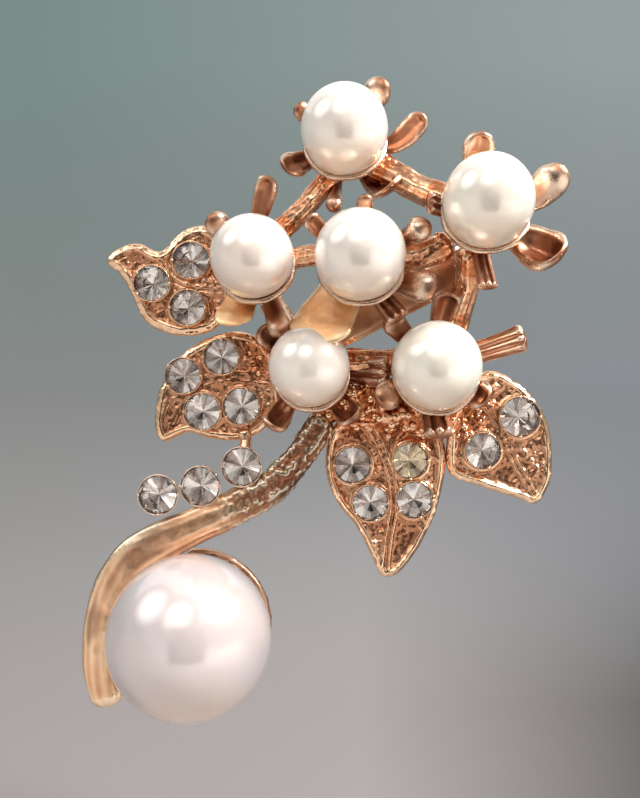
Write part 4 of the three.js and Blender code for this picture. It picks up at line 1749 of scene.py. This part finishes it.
    def dress(self, looks: Finishes, beads: BeadRing, scatter: GrainScatter) -> None:
        """Makes the leaf and its stones.

        Args:
            looks: Every finish.
            beads: Makes the claws.
            scatter: Spreads the grains.
        """
        plate = self.build()
        parts = [plate, self.collars(beads, looks.rose_cast)]
        if self.grain_spots:
            parts.append(scatter.grains(plate, 1.1, (0.16, 0.34), self.seed, looks.rose_cast))
        if self.links:
            line = smooth_line(self.links, 40)
            share = np.abs(np.linspace(-1, 1, 40))
            link = tube(line, 0.55 + 0.45 * share**2, 0.45 + 0.2 * share, 28)
            parts.append(SKIN.cover(link, 0.05, 0.8, 0.0, 1.0))
        piece = Piece(f"{self.name}_leaf_casting", [f"leaf_{self.name}"], "rose_gold_cast")
        piece.put(joined(parts), looks.rose_cast)
        for number, (x, z, radius) in enumerate(self.stones, 1):
            dull = self.name == "bottom" and number == 3
            bend = float(self._bend(np.array([[x, z]]))[0])
            SetStone(
                f"{self.name}_leaf_gem_{number}", [f"leaf_{self.name}_stone_{number}"],
                "champagne_stone" if dull else "clear_stone", (x, self.front - self.girdle_in + bend, z),
                radius, spin=0.4 * number,
            ).dress(looks.champagne_stone if dull else looks.clear_stone, looks.foil)


@dataclass
class RowCups:
    """The three stones in plain cups that stand beside the stem."""

    places: Rows = ((-15.2, -3.4, -9.0), (-11.25, -3.3, -8.2), (-7.4, -3.1, -6.4))
    radius: float = 1.95
    wall: float = 0.2
    height: float = 1.9
    stone: float = 1.76

    def cup(self) -> Shape:
        """Returns one cup facing +Z, its girdle at nought."""
        inner, outer = self.radius - self.wall, self.radius
        deep = -self.height + 0.2
        profile = [
            (AXIS_HOLE, deep + 0.2), (inner * 0.4, deep + 0.25), (inner * 0.97, -0.2), (inner + 0.06, 0.04),
            (inner + 0.1, 0.08), (outer - 0.03, 0.08), (outer, 0.04), (outer, -0.1),
            (outer - 0.12, -0.9), (outer * 0.66, deep), (AXIS_HOLE, deep),
        ]
        return revolved(profile, 64)

    def dress(self, looks: Finishes, beads: BeadRing) -> None:
        """Makes the cups and their stones."""
        for number, place in enumerate(self.places, 1):
            claws = beads.beads(self.radius - 0.1, 0.15, 4, looks.cup_rim).moved((0.0, 0.0, 0.08))
            cup = joined([self.cup(), claws]).aimed((0, -1, 0)).moved(place)
            Piece(f"stone_cup_{number}", [f"row_cup_{number}"], "satin_gold").put(cup, looks.cup_rim)
            SetStone(
                f"cup_gem_{number}", [f"row_stone_{number}"], "clear_stone", place, self.stone,
                spin=0.3 * number,
            ).dress(looks.clear_stone, looks.foil)


@dataclass
class Crescent:
    """The thin arc behind the large pearl, set with six small stones."""

    centre: Sequence[float] = (-12.0, -0.4, -21.8)
    radius: float = 6.7
    start: float = 98.0
    end: float = -12.0
    half_width: float = 0.55
    half_depth: float = 0.45
    count: int = 6
    first: float = 76.0
    last: float = 4.0
    stone: float = 0.5

    def point(self, degrees: np.ndarray) -> np.ndarray:
        """Places along the arc.

        Args:
            degrees: How far round, from the right.

        Returns:
            The points.
        """
        turn = np.radians(degrees)
        flat = np.stack([np.cos(turn), np.zeros_like(turn), np.sin(turn)], -1) * self.radius
        return flat + np.asarray(self.centre)

    def dress(self, looks: Finishes, row: StoneRow) -> None:
        """Makes the arc and its stones.

        Args:
            looks: Every finish.
            row: Sets the stones.
        """
        line = self.point(np.linspace(self.start, self.end, 120))
        wide = np.full(len(line), self.half_width)
        deep = np.full(len(line), self.half_depth)
        bar = SKIN.cover(tube(line, wide, deep, 32, square=0.8), 0.03, 0.7, 0.02, 0.4)
        Piece("crescent_rail", ["crescent_bar"], "rose_gold_cast").put(bar, looks.petal_cast)
        turns = np.linspace(self.first, self.last, self.count)
        out = np.radians(turns)
        facing = unit(np.stack([np.cos(out), -np.ones_like(out), np.sin(out)], -1))
        places = self.point(turns) + facing * 0.75 * self.half_depth
        glass, _ = round_stone(1.0)
        stones = row.stones(places, facing, self.stone, glass, looks.clear_stone)
        nodes = [f"crescent_stone_{k}" for k in range(1, self.count + 1)]
        Piece("crescent_gems", nodes, "clear_stone", smooth=False).put(stones, looks.clear_stone)


@dataclass
class PearlSeat:
    """The dish, peg and arm that carry the large pearl from behind."""

    centre: Sequence[float] = LARGE_PEARL_AT
    radius: float = LARGE_PEARL_RADIUS
    opening: float = 26.0
    wall: float = 0.7
    arm: Rows = (
        (-13.4, 2.75, -22.6, 1.2, 0.4), (-16.6, 1.7, -24.2, 1.1, 0.5), (-18.8, -1.0, -25.2, 1.0, 0.6),
    )

    def dress(self, material: bpy.types.Material) -> None:
        """Makes the seat.

        Args:
            material: Its metal.
        """
        cup = FlowerCup("large", self.centre, self.radius, (), self.wall, self.opening, lip=0.0)
        rows = smooth_line(self.arm, 60)
        arm = tube(rows[:, :3], rows[:, 3], rows[:, 4], 40, square=0.8)
        Piece("large_pearl_seat", ["pearl_seat"], "satin_gold").put(
            joined([cup.dish(), SKIN.cover(arm, 0.04, 1.2, 0.0, 1.0)]), material
        )


@dataclass
class PinWork:
    """The bar, joint, rivet, pin, catch and lock on the back."""

    tilt: float = 27.0
    bar_centre: Sequence[float] = (6.8, 0.0, 9.2)
    bar_from: float = -7.2
    bar_to: float = 9.6
    bar_half_width: float = 1.7
    bar_thickness: float = 1.0
    pad_from: float = 6.9
    hinge: Sequence[float] = (13.5, 2.5, 14.8)
    reach: float = 26.0
    knuckle: float = 0.85
    knuckle_length: float = 1.0
    rivet: float = 0.27
    ear_gap: float = 0.08
    ear_thickness: float = 0.6
    ear_half_width: float = 1.1
    catch_run: float = 24.2
    catch_bore: float = 1.32
    catch_wall: float = 0.6
    catch_slot: float = 1.7
    catch_length: float = 1.6
    lock_radius: float = 1.24
    lock_bore: float = 0.6
    lock_slot: float = 1.1
    lock_length: float = 2.5
    lock_shift: float = 0.35

    def __post_init__(self) -> None:
        """Works out the pin's own directions."""
        turn = math.radians(self.tilt)
        self.along = np.array([math.cos(turn), 0.0, math.sin(turn)])
        self.across = np.array([-math.sin(turn), 0.0, math.cos(turn)])
        self.back = np.array([0.0, 1.0, 0.0])

    def _block(self, centre: np.ndarray, run: float, wide: float, deep: float, edge: float) -> Shape:
        """A block with rounded edges, square to the pin.

        Args:
            centre: Its middle.
            run: Half its length along the pin.
            wide: Half its width across the pin.
            deep: Half its depth towards the back.
            edge: How far its edges are rounded.

        Returns:
            The closed block.
        """
        rings = []
        for inset, depth in self._edge_steps(deep, edge):
            corner = max(edge - inset, 0.05)
            rings.append(self._loop(centre + self.back * depth, run - inset, wide - inset, corner))
        return capped(np.array(rings))

    @staticmethod
    def _edge_steps(deep: float, edge: float) -> list[tuple[float, float]]:
        """How a rounded block steps in towards its two ends.

        Args:
            deep: Half its depth.
            edge: How far its edges are rounded.

        Returns:
            The inset and depth of each ring.
        """
        turns = np.linspace(0, math.pi / 2, 6)
        low = [(edge * (1 - math.sin(t)), -deep + edge * (1 - math.cos(t))) for t in turns]
        return low + [(inset, -depth) for inset, depth in reversed(low)]

    def _loop(self, centre: np.ndarray, run: float, wide: float, corner: float) -> np.ndarray:
        """A rounded rectangle across the back direction.

        Args:
            centre: Its middle.
            run: Half its length along the pin.
            wide: Half its width.
            corner: Its corners' radius.

        Returns:
            The points round it.
        """
        points = []
        for quarter, (ahead, aside) in enumerate(((1, 1), (-1, 1), (-1, -1), (1, -1))):
            for turn in np.linspace(0, math.pi / 2, 7) + quarter * math.pi / 2:
                u = ahead * (run - corner) + corner * math.cos(turn)
                v = aside * (wide - corner) + corner * math.sin(turn)
                points.append(centre + self.along * u + self.across * v)
        return np.array(points)

    def bar(self) -> Shape:
        """Returns the back bar with its end pad."""
        middle = (self.bar_from + self.bar_to) / 2
        half = (self.bar_to - self.bar_from) / 2
        centre = np.asarray(self.bar_centre) + self.along * middle + self.back * (-self.bar_thickness / 2)
        run = np.linspace(-half, half, 150)
        line = centre + self.along * run[:, None]
        wide = np.full(len(run), self.bar_half_width)
        deep = np.full(len(run), self.bar_thickness / 2)
        bar = tube(line, wide, deep, 64, lambda run, turn: 0.03 * np.cos(9 * turn), square=0.62)
        bar = SKIN.cover(bar, 0.06, 1.6, 0.0, 1.0)
        run = (self.bar_to - self.pad_from) / 2
        pad_middle = np.asarray(self.bar_centre) + self.along * (self.pad_from + self.bar_to) / 2
        pad = self._block(pad_middle - self.back * 2.0, run, self.bar_half_width - 0.1, 1.5, 0.25)
        return joined([bar, pad])

    def _hooked_ring(
        self, bore: float, outer: float, slot: float, length: float, centre: np.ndarray
    ) -> Shape:
        """A tube along the pin with a slot down the side that faces back.

        Args:
            bore: Radius of the hole.
            outer: Outer radius.
            slot: Width of the slot.
            length: Length along the pin.
            centre: The tube's middle.

        Returns:
            The closed tube.
        """
        half = math.asin(min(slot / 2 / bore, 0.98))
        turns = np.linspace(half, 2 * math.pi - half, 60)
        edge = 0.1
        section = [
            (bore, -length / 2 + edge), (bore + edge, -length / 2), (outer - edge, -length / 2),
            (outer, -length / 2 + edge), (outer, length / 2 - edge), (outer - edge, length / 2),
            (bore + edge, length / 2), (bore, length / 2 - edge),
        ]
        rings = []
        for turn in turns:
            way = self.back * math.cos(turn) + self.across * math.sin(turn)
            rings.append([centre + way * r + self.along * h for r, h in section])
        return capped(np.array(rings))

    def catch_centre(self) -> np.ndarray:
        """Returns the middle of the catch."""
        return np.asarray(self.hinge) - self.along * self.catch_run

    def catch(self) -> Shape:
        """Returns the catch and its foot."""
        centre = self.catch_centre()
        outer = self.catch_bore + self.catch_wall
        hook = self._hooked_ring(self.catch_bore, outer, self.catch_slot, self.catch_length, centre)
        low, high = -0.54, self.hinge[1] - self.catch_bore - 0.2
        foot_centre = centre + self.back * ((low + high) / 2 - centre[1])
        foot = self._block(foot_centre, self.catch_length / 2, 1.3, (high - low) / 2, 0.15)
        return joined([hook, foot])

    def lock(self) -> Shape:
        """Returns the turning lock with its thumb tab."""
        centre = self.catch_centre() - self.along * self.lock_shift
        sleeve = self._hooked_ring(self.lock_bore, self.lock_radius, self.lock_slot, self.lock_length, centre)
        tab_run = self.lock_length / 2 - 0.4
        start, end = self.lock_radius - 0.15, 2.9
        tab_centre = centre - self.along * tab_run - self.across * (start + end) / 2
        tab = self._block(tab_centre, 0.35, (end - start) / 2, 0.35, 0.12)
        return joined([sleeve, tab])

    def ears(self) -> Shape:
        """Returns the joint's two ears on their foot."""
        parts = []
        reach = self.knuckle_length / 2 + self.ear_gap
        top = self.hinge[1]
        for side in (1, -1):
            centre = np.asarray(self.hinge) + self.across * side * (reach + self.ear_thickness / 2)
            rings = []
            for away, inset in ((-1, 0.08), (-0.75, 0.0), (0.75, 0.0), (1, 0.08)):
                middle = centre + self.across * away * self.ear_thickness / 2
                rings.append(self._ear_loop(middle, self.ear_half_width - inset, top - 0.06 + inset))
            parts.append(capped(np.array(rings)))
        return joined(parts)

    def _ear_loop(self, middle: np.ndarray, half: float, drop: float) -> np.ndarray:
        """An ear's outline: square at the foot and round at the top.

        Args:
            middle: The pin's centre line in this ear.
            half: Half its width.
            drop: How far its foot is below the pin.

        Returns:
            The points round it.
        """
        points = [middle + self.along * half - self.back * drop]
        for turn in np.linspace(0, math.pi, 19):
            ahead, rise = half * math.cos(turn), 0.95 * half * math.sin(turn)
            points.append(middle + self.along * ahead + self.back * rise)
        points.append(middle - self.along * half - self.back * drop)
        return np.array(points)

    def rivet_shape(self) -> Shape:
        """Returns the rivet with its two domed heads."""
        reach = self.knuckle_length / 2 + self.ear_gap + self.ear_thickness
        dome = [(0.5 * math.sin(t), 0.26 * math.cos(t)) for t in np.linspace(0.01, math.pi / 2, 8)]
        profile = [(r, reach + 0.03 + h) for r, h in dome]
        profile += [(self.rivet, reach + 0.02), (self.rivet, -reach - 0.02)]
        profile += [(r, -reach - 0.03 - h) for r, h in reversed(dome)]
        return revolved(profile, 28).aimed(self.across).moved(self.hinge)

    def pin(self) -> Shape:
        """Returns the pin: a knuckle, a straight wire and a long fine point."""
        knuckle = revolved(
            [
                (0.33, -0.44), (0.36, -0.5), (0.8, -0.5), (self.knuckle, -0.44), (self.knuckle, 0.44),
                (0.8, 0.5), (0.36, 0.5), (0.33, 0.44),
            ],
            40,
            hoop=True,
        ).aimed(self.across)
        run = np.array([0.55, 0.9, 8.0, 16.0, 21.5, 23.5, 25.0, 25.8, self.reach])
        wide = np.array([0.42, 0.40, 0.38, 0.38, 0.38, 0.33, 0.20, 0.08, 0.02])
        fine = np.linspace(run[0], run[-1], 160)
        profile = np.column_stack([np.interp(fine, run, wide), fine])
        wire = revolved(profile, 24).aimed(-self.along)
        return joined([knuckle, wire]).moved(self.hinge)

    def dress(self, looks: Finishes) -> None:
        """Makes every piece of the pin work.

        Args:
            looks: Every finish.
        """
        Piece("back_bar", ["pin_bar"], "satin_gold").put(self.bar(), looks.stem_satin)
        Piece("pin_joint_ears", ["pin_joint"], "pin_steel").put(self.ears(), looks.pin_steel)
        Piece("joint_rivet", ["pin_rivet"], "pin_steel").put(self.rivet_shape(), looks.pin_steel)
        Piece("swing_pin", ["pin_stem"], "pin_steel", "pin").put(self.pin(), looks.pin_steel)
        Piece("pin_hook", ["pin_catch"], "pin_steel").put(self.catch(), looks.pin_steel)
        Piece("turning_lock", ["catch_lock"], "pin_steel", "lock").put(self.lock(), looks.pin_steel)


# ---------------------------------------------------------------- studio


@dataclass
class Studio:
    """The pale sweep, the soft lights and the camera."""

    floor: float = -0.056
    flat: float = 0.045
    wall: float = 1.8
    rise: float = 0.36
    camera_back: float = -0.0755
    lens: float = 34.7

    def sweep(self) -> None:
        """Lays the floor, which curves up into a wall all round."""
        profile = [(0.0005, self.floor)]
        for out in np.linspace(self.flat, self.wall, 40):
            profile.append((out, self.floor + self.rise * (out - self.flat) ** 2))
        rows = np.array(profile)
        turn = full_turn(96)
        rings = np.stack(
            [rows[:, :1] * np.cos(turn), rows[:, :1] * np.sin(turn), np.repeat(rows[:, 1:2], 96, axis=1)], -1
        )
        shape = capped(rings)
        lid = len(shape.points) - 1
        keep = ~(shape.triangles == lid).any(axis=1)
        mesh = plain_mesh("sweep", Shape(shape.points[:-1], shape.triangles[keep][:, ::-1]))
        mesh.polygons.foreach_set("use_smooth", np.full(len(mesh.polygons), True))
        mesh.materials.append(BackdropFinish().material())
        made = bpy.data.objects.new("sweep", mesh)
        bpy.context.scene.collection.objects.link(made)

    def lamp(
        self, name: str, place: Sequence[float], size: tuple[float, float], glow: float,
        colour: Sequence[float],
    ) -> None:
        """Hangs one soft lamp that faces the brooch.

        Args:
            name: The lamp's name.
            place: Where it hangs.
            size: Its width and height.
            glow: How bright its face is.
            colour: Its colour.
        """
        data = bpy.data.lights.new(name, "AREA")
        data.shape = "RECTANGLE"
        data.size, data.size_y = size
        data.energy = glow * math.pi * size[0] * size[1]
        data.color = colour
        made = bpy.data.objects.new(name, data)
        made.location = place
        made.rotation_euler = (-Vector(place)).to_track_quat("-Z", "Y").to_euler()
        made.visible_camera = False
        bpy.context.scene.collection.objects.link(made)

    def soft_disc(self, name: str, place: Sequence[float], radius: float, glow: float, tint: Colour) -> None:
        """Hangs a round lamp that fades out towards its edge, facing the brooch.

        Args:
            name: The lamp's name.
            place: Where its middle is.
            radius: How far it reaches.
            glow: How bright its middle is.
            tint: Its colour.
        """
        disc = revolved([(0.0005, 0.0), (radius * 0.5, 0.0), (radius, 0.0), (radius, 0.001)], 48)
        disc = disc.aimed(-Vector(place)).moved(place)
        mesh = plain_mesh(name, disc)
        material, bench, shader = new_material(name)
        at = bench.place()
        far = bench.add("ShaderNodeVectorMath", {0: at, 1: tuple(place)}, operation="DISTANCE")
        away = far.outputs["Value"]
        share = bench.add(
            "ShaderNodeMapRange", {0: away, 1: radius, 2: 0.0, 3: 0.0, 4: 1.0},
            interpolation_type="SMOOTHSTEP",
        )
        fade = bench.mix(share.outputs[0], (0.0, 0.0, 0.0, 1.0), tint)
        shader.inputs["Base Color"].default_value = (0.0, 0.0, 0.0, 1.0)
        shader.inputs["Specular IOR Level"].default_value = 0.0
        shader.inputs["Emission Strength"].default_value = glow
        bench.feed(fade, shader, "Emission Color")
        mesh.materials.append(material)
        made = bpy.data.objects.new(name, mesh)
        made.visible_camera = False
        made.visible_shadow = False
        bpy.context.scene.collection.objects.link(made)

    def flag(self) -> None:
        """Hangs the dark card below the lens, which the pearls mirror."""
        rows = [(-0.04, -0.095, -0.05), (0.04, -0.095, -0.05), (0.04, -0.095, 0.03), (-0.04, -0.095, 0.03)]
        mesh = bpy.data.meshes.new("lens_flag")
        mesh.from_pydata(rows, [], [(0, 1, 2, 3)])
        material, bench, shader = new_material("flag_cloth")
        place = bench.place()
        weave = bench.add("ShaderNodeTexNoise", {"Vector": place, "Scale": 400.0})
        dark = bench.mix(weave.outputs[0], (0.05, 0.035, 0.03, 1.0), (0.09, 0.06, 0.05, 1.0))
        bench.feed(dark, shader, "Base Color")
        mesh.materials.append(material)
        made = bpy.data.objects.new("lens_flag", mesh)
        made.visible_camera = False
        made.visible_transmission = False
        made.visible_shadow = False
        bpy.context.scene.collection.objects.link(made)

    def build(self) -> None:
        """Sets up everything round the brooch."""
        scene = bpy.context.scene
        self.sweep()
        self.flag()
        self.lamp("window", (0.210, -0.075, 0.212), (0.10, 0.12), 64.0, (1.0, 0.98, 0.97))
        self.soft_disc("front_glow", (-0.10, -0.44, 0.40), 0.33, 3.3, (1.0, 0.97, 0.94, 1.0))
        self.soft_disc("left_glow", (-0.40, -0.16, 0.36), 0.30, 3.5, (0.96, 0.99, 1.0, 1.0))
        world = bpy.data.worlds.new("room")
        scene.world = world
        world.use_nodes = True
        ground = world.node_tree.nodes["Background"]
        ground.inputs["Color"].default_value = (1.0, 0.98, 0.96, 1.0)
        ground.inputs["Strength"].default_value = 0.95
        scene.view_settings.view_transform = "Standard"
        lens = bpy.data.cameras.new("main_camera")
        lens.lens = self.lens
        lens.sensor_width = 36.0
        lens.sensor_fit = "AUTO"
        lens.clip_start = 0.001
        lens.clip_end = 20.0
        camera = bpy.data.objects.new("main_camera", lens)
        camera.location = (0.0, self.camera_back, 0.0)
        camera.rotation_euler = (math.pi / 2, 0.0, 0.0)
        scene.collection.objects.link(camera)
        scene.camera = camera


# ---------------------------------------------------------------- the brooch


@dataclass
class Spray:
    """The six small pearls in their flower cups."""

    flowers: Sequence[tuple] = field(
        default_factory=lambda: (
            ("top", (2.2, -5.6, 24.5), 4.0, (0.995, 1.02), Lustre.CREAM, (
                (210, 6.4, 1.3, PetalStyle.OVAL, 8), (149, 5.1, 0.9, PetalStyle.DOME),
                (51, 6.3, 1.35, PetalStyle.DOME, -14), (14, 7.6, 1.15, PetalStyle.OVAL, 46),
                (-50, 6.7, 1.75, PetalStyle.CURLED), (262, 7.1, 0.8, PetalStyle.KNOB))),
            ("right", (14.5, -9.3, 17.1), 4.0, (0.985, 1.02), Lustre.IVORY, (
                (92, 6.3, 1.45, PetalStyle.OVAL, -10), (26, 7.6, 1.6, PetalStyle.DOME, 34),
                (-37, 7.9, 2.2, PetalStyle.CURLED, -6), (-88, 7.4, 0.95, PetalStyle.FLUTED),
                (178, 5.0, 1.1, PetalStyle.FLUTED))),
            ("left", (-6.15, -6.0, 12.9), 3.8, (1.0, 1.0), Lustre.BLUSH, (
                (136, 5.6, 1.25, PetalStyle.DOME), (78, 7.7, 1.1, PetalStyle.OVAL, -16),
                (250, 6.6, 1.9, PetalStyle.PLATE, 0, -20), (-68, 7.6, 1.25, PetalStyle.DOME))),
            ("centre", (3.5, -8.5, 12.6), 4.0, (1.0, 1.01), Lustre.CREAM, (
                (84, 5.5, 0.75, PetalStyle.DOME), (142, 5.8, 0.8, PetalStyle.OVAL),
                (26, 6.9, 1.2, PetalStyle.KNOB), (-22, 7.4, 1.5, PetalStyle.DOME, 8),
                (240, 8.8, 3.0, PetalStyle.PLATE, 0, -26), (-58, 6.6, 1.2, PetalStyle.FLUTED))),
            ("lower_left", (-1.0, -5.1, 3.0), 3.75, (1.0, 1.0), Lustre.CREAM, (
                (-4, 7.4, 1.6, PetalStyle.FLUTED), (238, 6.6, 1.3, PetalStyle.CURLED),
                (-50, 6.4, 1.4, PetalStyle.CURLED), (142, 5.8, 1.3, PetalStyle.OVAL),
                (78, 5.4, 1.2, PetalStyle.DOME))),
            ("lower_right", (10.4, -7.1, 2.95), 4.0, (1.0, 1.01), Lustre.IVORY, (
                (134, 6.2, 1.2, PetalStyle.DOME, 10), (79, 6.6, 1.3, PetalStyle.CURLED),
                (18, 8.6, 1.3, PetalStyle.FLUTED), (-32, 5.8, 1.4, PetalStyle.OVAL),
                (-86, 6.4, 1.5, PetalStyle.FLUTED), (212, 6.0, 1.4, PetalStyle.DOME))),
        )
    )

    def dress(self, looks: Finishes) -> None:
        """Makes every flower and its pearl."""
        for name, centre, radius, oval, lustre, petals in self.flowers:
            FlowerCup(name, centre, radius, [Petal(*row) for row in petals]).dress(looks)
            pearl = Pearl(f"{name}_pearl", f"pearl_{name}", "small_pearl", centre, radius, oval)
            pearl.dress(looks.small_pearl[lustre])


TWIGS = (
    ("left_to_top", ((-4.6, -2.4, 15.0), (-1.6, -2.4, 18.0), (1.4, -2.2, 21.6)), 0.95),
    ("top_to_right", ((4.6, -2.6, 22.6), (8.4, -3.6, 20.0), (12.2, -4.9, 18.0)), 1.2),
    ("right_to_centre", ((12.2, -4.7, 14.6), (9.4, -4.2, 13.4), (6.4, -4.2, 12.9)), 1.2),
    ("right_to_lower", ((14.0, -4.6, 14.0), (13.6, -2.6, 9.8), (12.2, -2.5, 5.6)), 1.15),
    ("left_to_lower", ((-5.2, -2.0, 9.8), (-3.6, -1.7, 7.6), (-2.2, -1.5, 5.6)), 1.0),
    ("left_to_centre", ((-3.4, -3.2, 13.0), (-0.8, -3.8, 13.3), (1.2, -4.5, 13.0)), 0.9),
    ("lower_pair", ((1.9, -1.6, 3.6), (4.8, -2.1, 3.5), (8.0, -3.0, 3.3)), 1.1),
)


def leaves() -> list[Leaf]:
    """Returns the four leaves with their outlines, veins and stones."""
    midrib = (
        (-4.6, 1.8), (-7.7, 2.2), (-10.1, 2.0), (-12.0, 1.2), (-13.4, -0.1), (-14.4, -1.6), (-15.0, -3.4),
    )
    return [
        Leaf(
            "left_upper",
            outline=(
                (-8.4, 11.4), (-8.6, 14.2), (-10.6, 16.5), (-13.0, 16.2), (-15.3, 14.2), (-17.3, 14.9),
                (-19.0, 14.6), (-20.2, 13.8), (-20.3, 12.9), (-19.2, 12.0), (-18.1, 10.2), (-17.1, 7.9),
                (-15.6, 6.7), (-13.2, 6.1), (-10.3, 6.7), (-8.5, 8.9),
            ),
            veins=(
                Vein(
                    ((-8.6, 10.2), (-12.4, 10.6), (-14.3, 11.6), (-15.2, 13.3), (-16.8, 14.2), (-19.4, 13.4)),
                    apart=0.26,
                ),
                Vein(((-13.9, 11.3), (-15.4, 9.4), (-16.2, 8.0)), height=0.2),
            ),
            stones=((-12.3, 13.2, 1.7), (-16.0, 11.0, 1.65), (-12.6, 8.7, 1.65)),
            front=-2.1, back=-0.9, bow=0.1, seed=1, rim_in=0.62, rim_width=0.5,
        ),
        Leaf(
            "left_lower",
            outline=(
                (-3.6, -0.6), (-4.6, 4.4), (-7.3, 6.4), (-10.5, 5.9), (-13.4, 4.1), (-15.3, 1.0),
                (-15.8, -1.9), (-15.6, -3.4), (-14.9, -4.1), (-13.9, -3.7), (-12.4, -3.2), (-10.4, -3.8),
                (-7.3, -3.9), (-5.0, -2.5),
            ),
            veins=(
                Vein(midrib, apart=0.42, width=0.2), Vein(midrib, width=0.14, height=0.26),
                Vein(((-12.4, 2.8), (-14.2, 1.2), (-15.0, -0.6), (-15.2, -2.8)), width=0.2, height=0.38),
                Vein(((-13.6, 0.4), (-14.5, -1.2), (-14.7, -3.2)), width=0.15, height=0.3),
                Vein(((-12.9, -0.8), (-13.8, -2.2), (-14.3, -3.4)), width=0.15, height=0.3),
            ),
            stones=((-9.4, 4.0, 1.65), (-13.0, 2.2, 1.65), (-11.2, -1.2, 1.7), (-7.5, -0.7, 1.7)),
            front=-2.2, back=-0.6, bow=0.12, seed=2, grain_spots=((-5.6, 3.6, 1.6), (-6.2, 5.2, 1.2)),
            rim_in=0.5, rim_width=0.42, links=((-7.3, -1.6, -2.9), (-7.1, -1.9, -4.0), (-7.2, -2.4, -5.2)),
        ),
        Leaf(
            "bottom",
            outline=(
                (6.2, -1.2), (2.6, -1.5), (0.9, -3.6), (0.6, -7.0), (1.6, -9.8), (3.6, -12.4), (5.1, -15.4),
                (5.8, -16.8), (6.6, -17.0), (7.8, -16.4), (9.6, -14.0), (11.2, -10.4), (12.0, -6.8),
                (11.8, -3.8), (10.2, -1.6),
            ),
            veins=(
                Vein(
                    (
                        (3.6, -1.0), (5.0, -3.0), (6.2, -5.4), (6.9, -7.8), (7.0, -10.6), (6.5, -13.5),
                        (6.2, -16.2),
                    ),
                    apart=0.3, width=0.19, height=0.42,
                ),
                Vein(((6.6, -6.6), (4.9, -7.5), (3.1, -9.0)), height=0.16),
                Vein(((7.0, -9.6), (5.6, -11.5), (4.6, -12.6)), height=0.16),
            ),
            stones=((3.1, -6.3, 1.7), (4.8, -9.9, 1.65), (8.6, -5.9, 1.65), (9.0, -9.6, 1.7)),
            front=-2.2, back=-0.5, bow=0.12, seed=3, smooth_spots=((8.4, -14.0, 1.8),),
            grain_spots=((3.0, -2.6, 1.8), (8.0, -2.6, 2.4), (10.6, -3.2, 1.4)),
        ),
        Leaf(
            "right",
            outline=(
                (12.7, -0.9), (15.8, 2.6), (19.2, 1.3), (21.5, -1.7), (22.1, -5.2), (21.8, -8.2),
                (20.5, -9.9), (18.7, -9.4), (15.2, -8.3), (12.5, -7.1), (12.2, -4.0),
            ),
            veins=(
                Vein(
                    ((14.1, 0.6), (16.1, -1.0), (17.2, -3.0), (18.3, -5.4), (19.4, -7.4), (20.4, -9.2)),
                    apart=0.24,
                ),
                Vein(((17.0, -2.6), (19.2, -4.8), (20.6, -6.4)), height=0.2),
            ),
            stones=((18.9, -1.7, 1.85), (15.4, -4.9, 1.65)),
            front=-2.6, back=-1.0, bow=0.1, seed=4, smooth_spots=((17.4, -7.9, 1.3),),
            grain_spots=((14.2, -1.6, 1.6), (13.2, -2.6, 1.2)),
        ),
    ]


def main() -> None:
    """Builds the brooch, sub-assembly by sub-assembly, and the studio round it."""
    logging.basicConfig(level=logging.INFO, format="%(message)s")
    looks = Finishes()
    scatter, beads, row = GrainScatter(), BeadRing(), StoneRow()
    Studio().build()
    Spray().dress(looks)
    great = Pearl("great_pearl", "pearl_large", "large_pearl", LARGE_PEARL_AT, LARGE_PEARL_RADIUS, sides=144)
    great.dress(looks.large_pearl)
    PearlSeat().dress(looks.stem_satin)
    for number, (name, knots, radius) in enumerate(TWIGS):
        Twig(name, knots, radius).dress(looks.rose_cast, scatter, number)
    ForkNugget().dress(looks.rose_cast, scatter)
    MainStem().dress(looks.stem_satin)
    for leaf in leaves():
        leaf.dress(looks, beads, scatter)
    RowCups().dress(looks, beads)
    Crescent().dress(looks, row)
    PinWork().dress(looks)


if __name__ == "__main__":
    main()
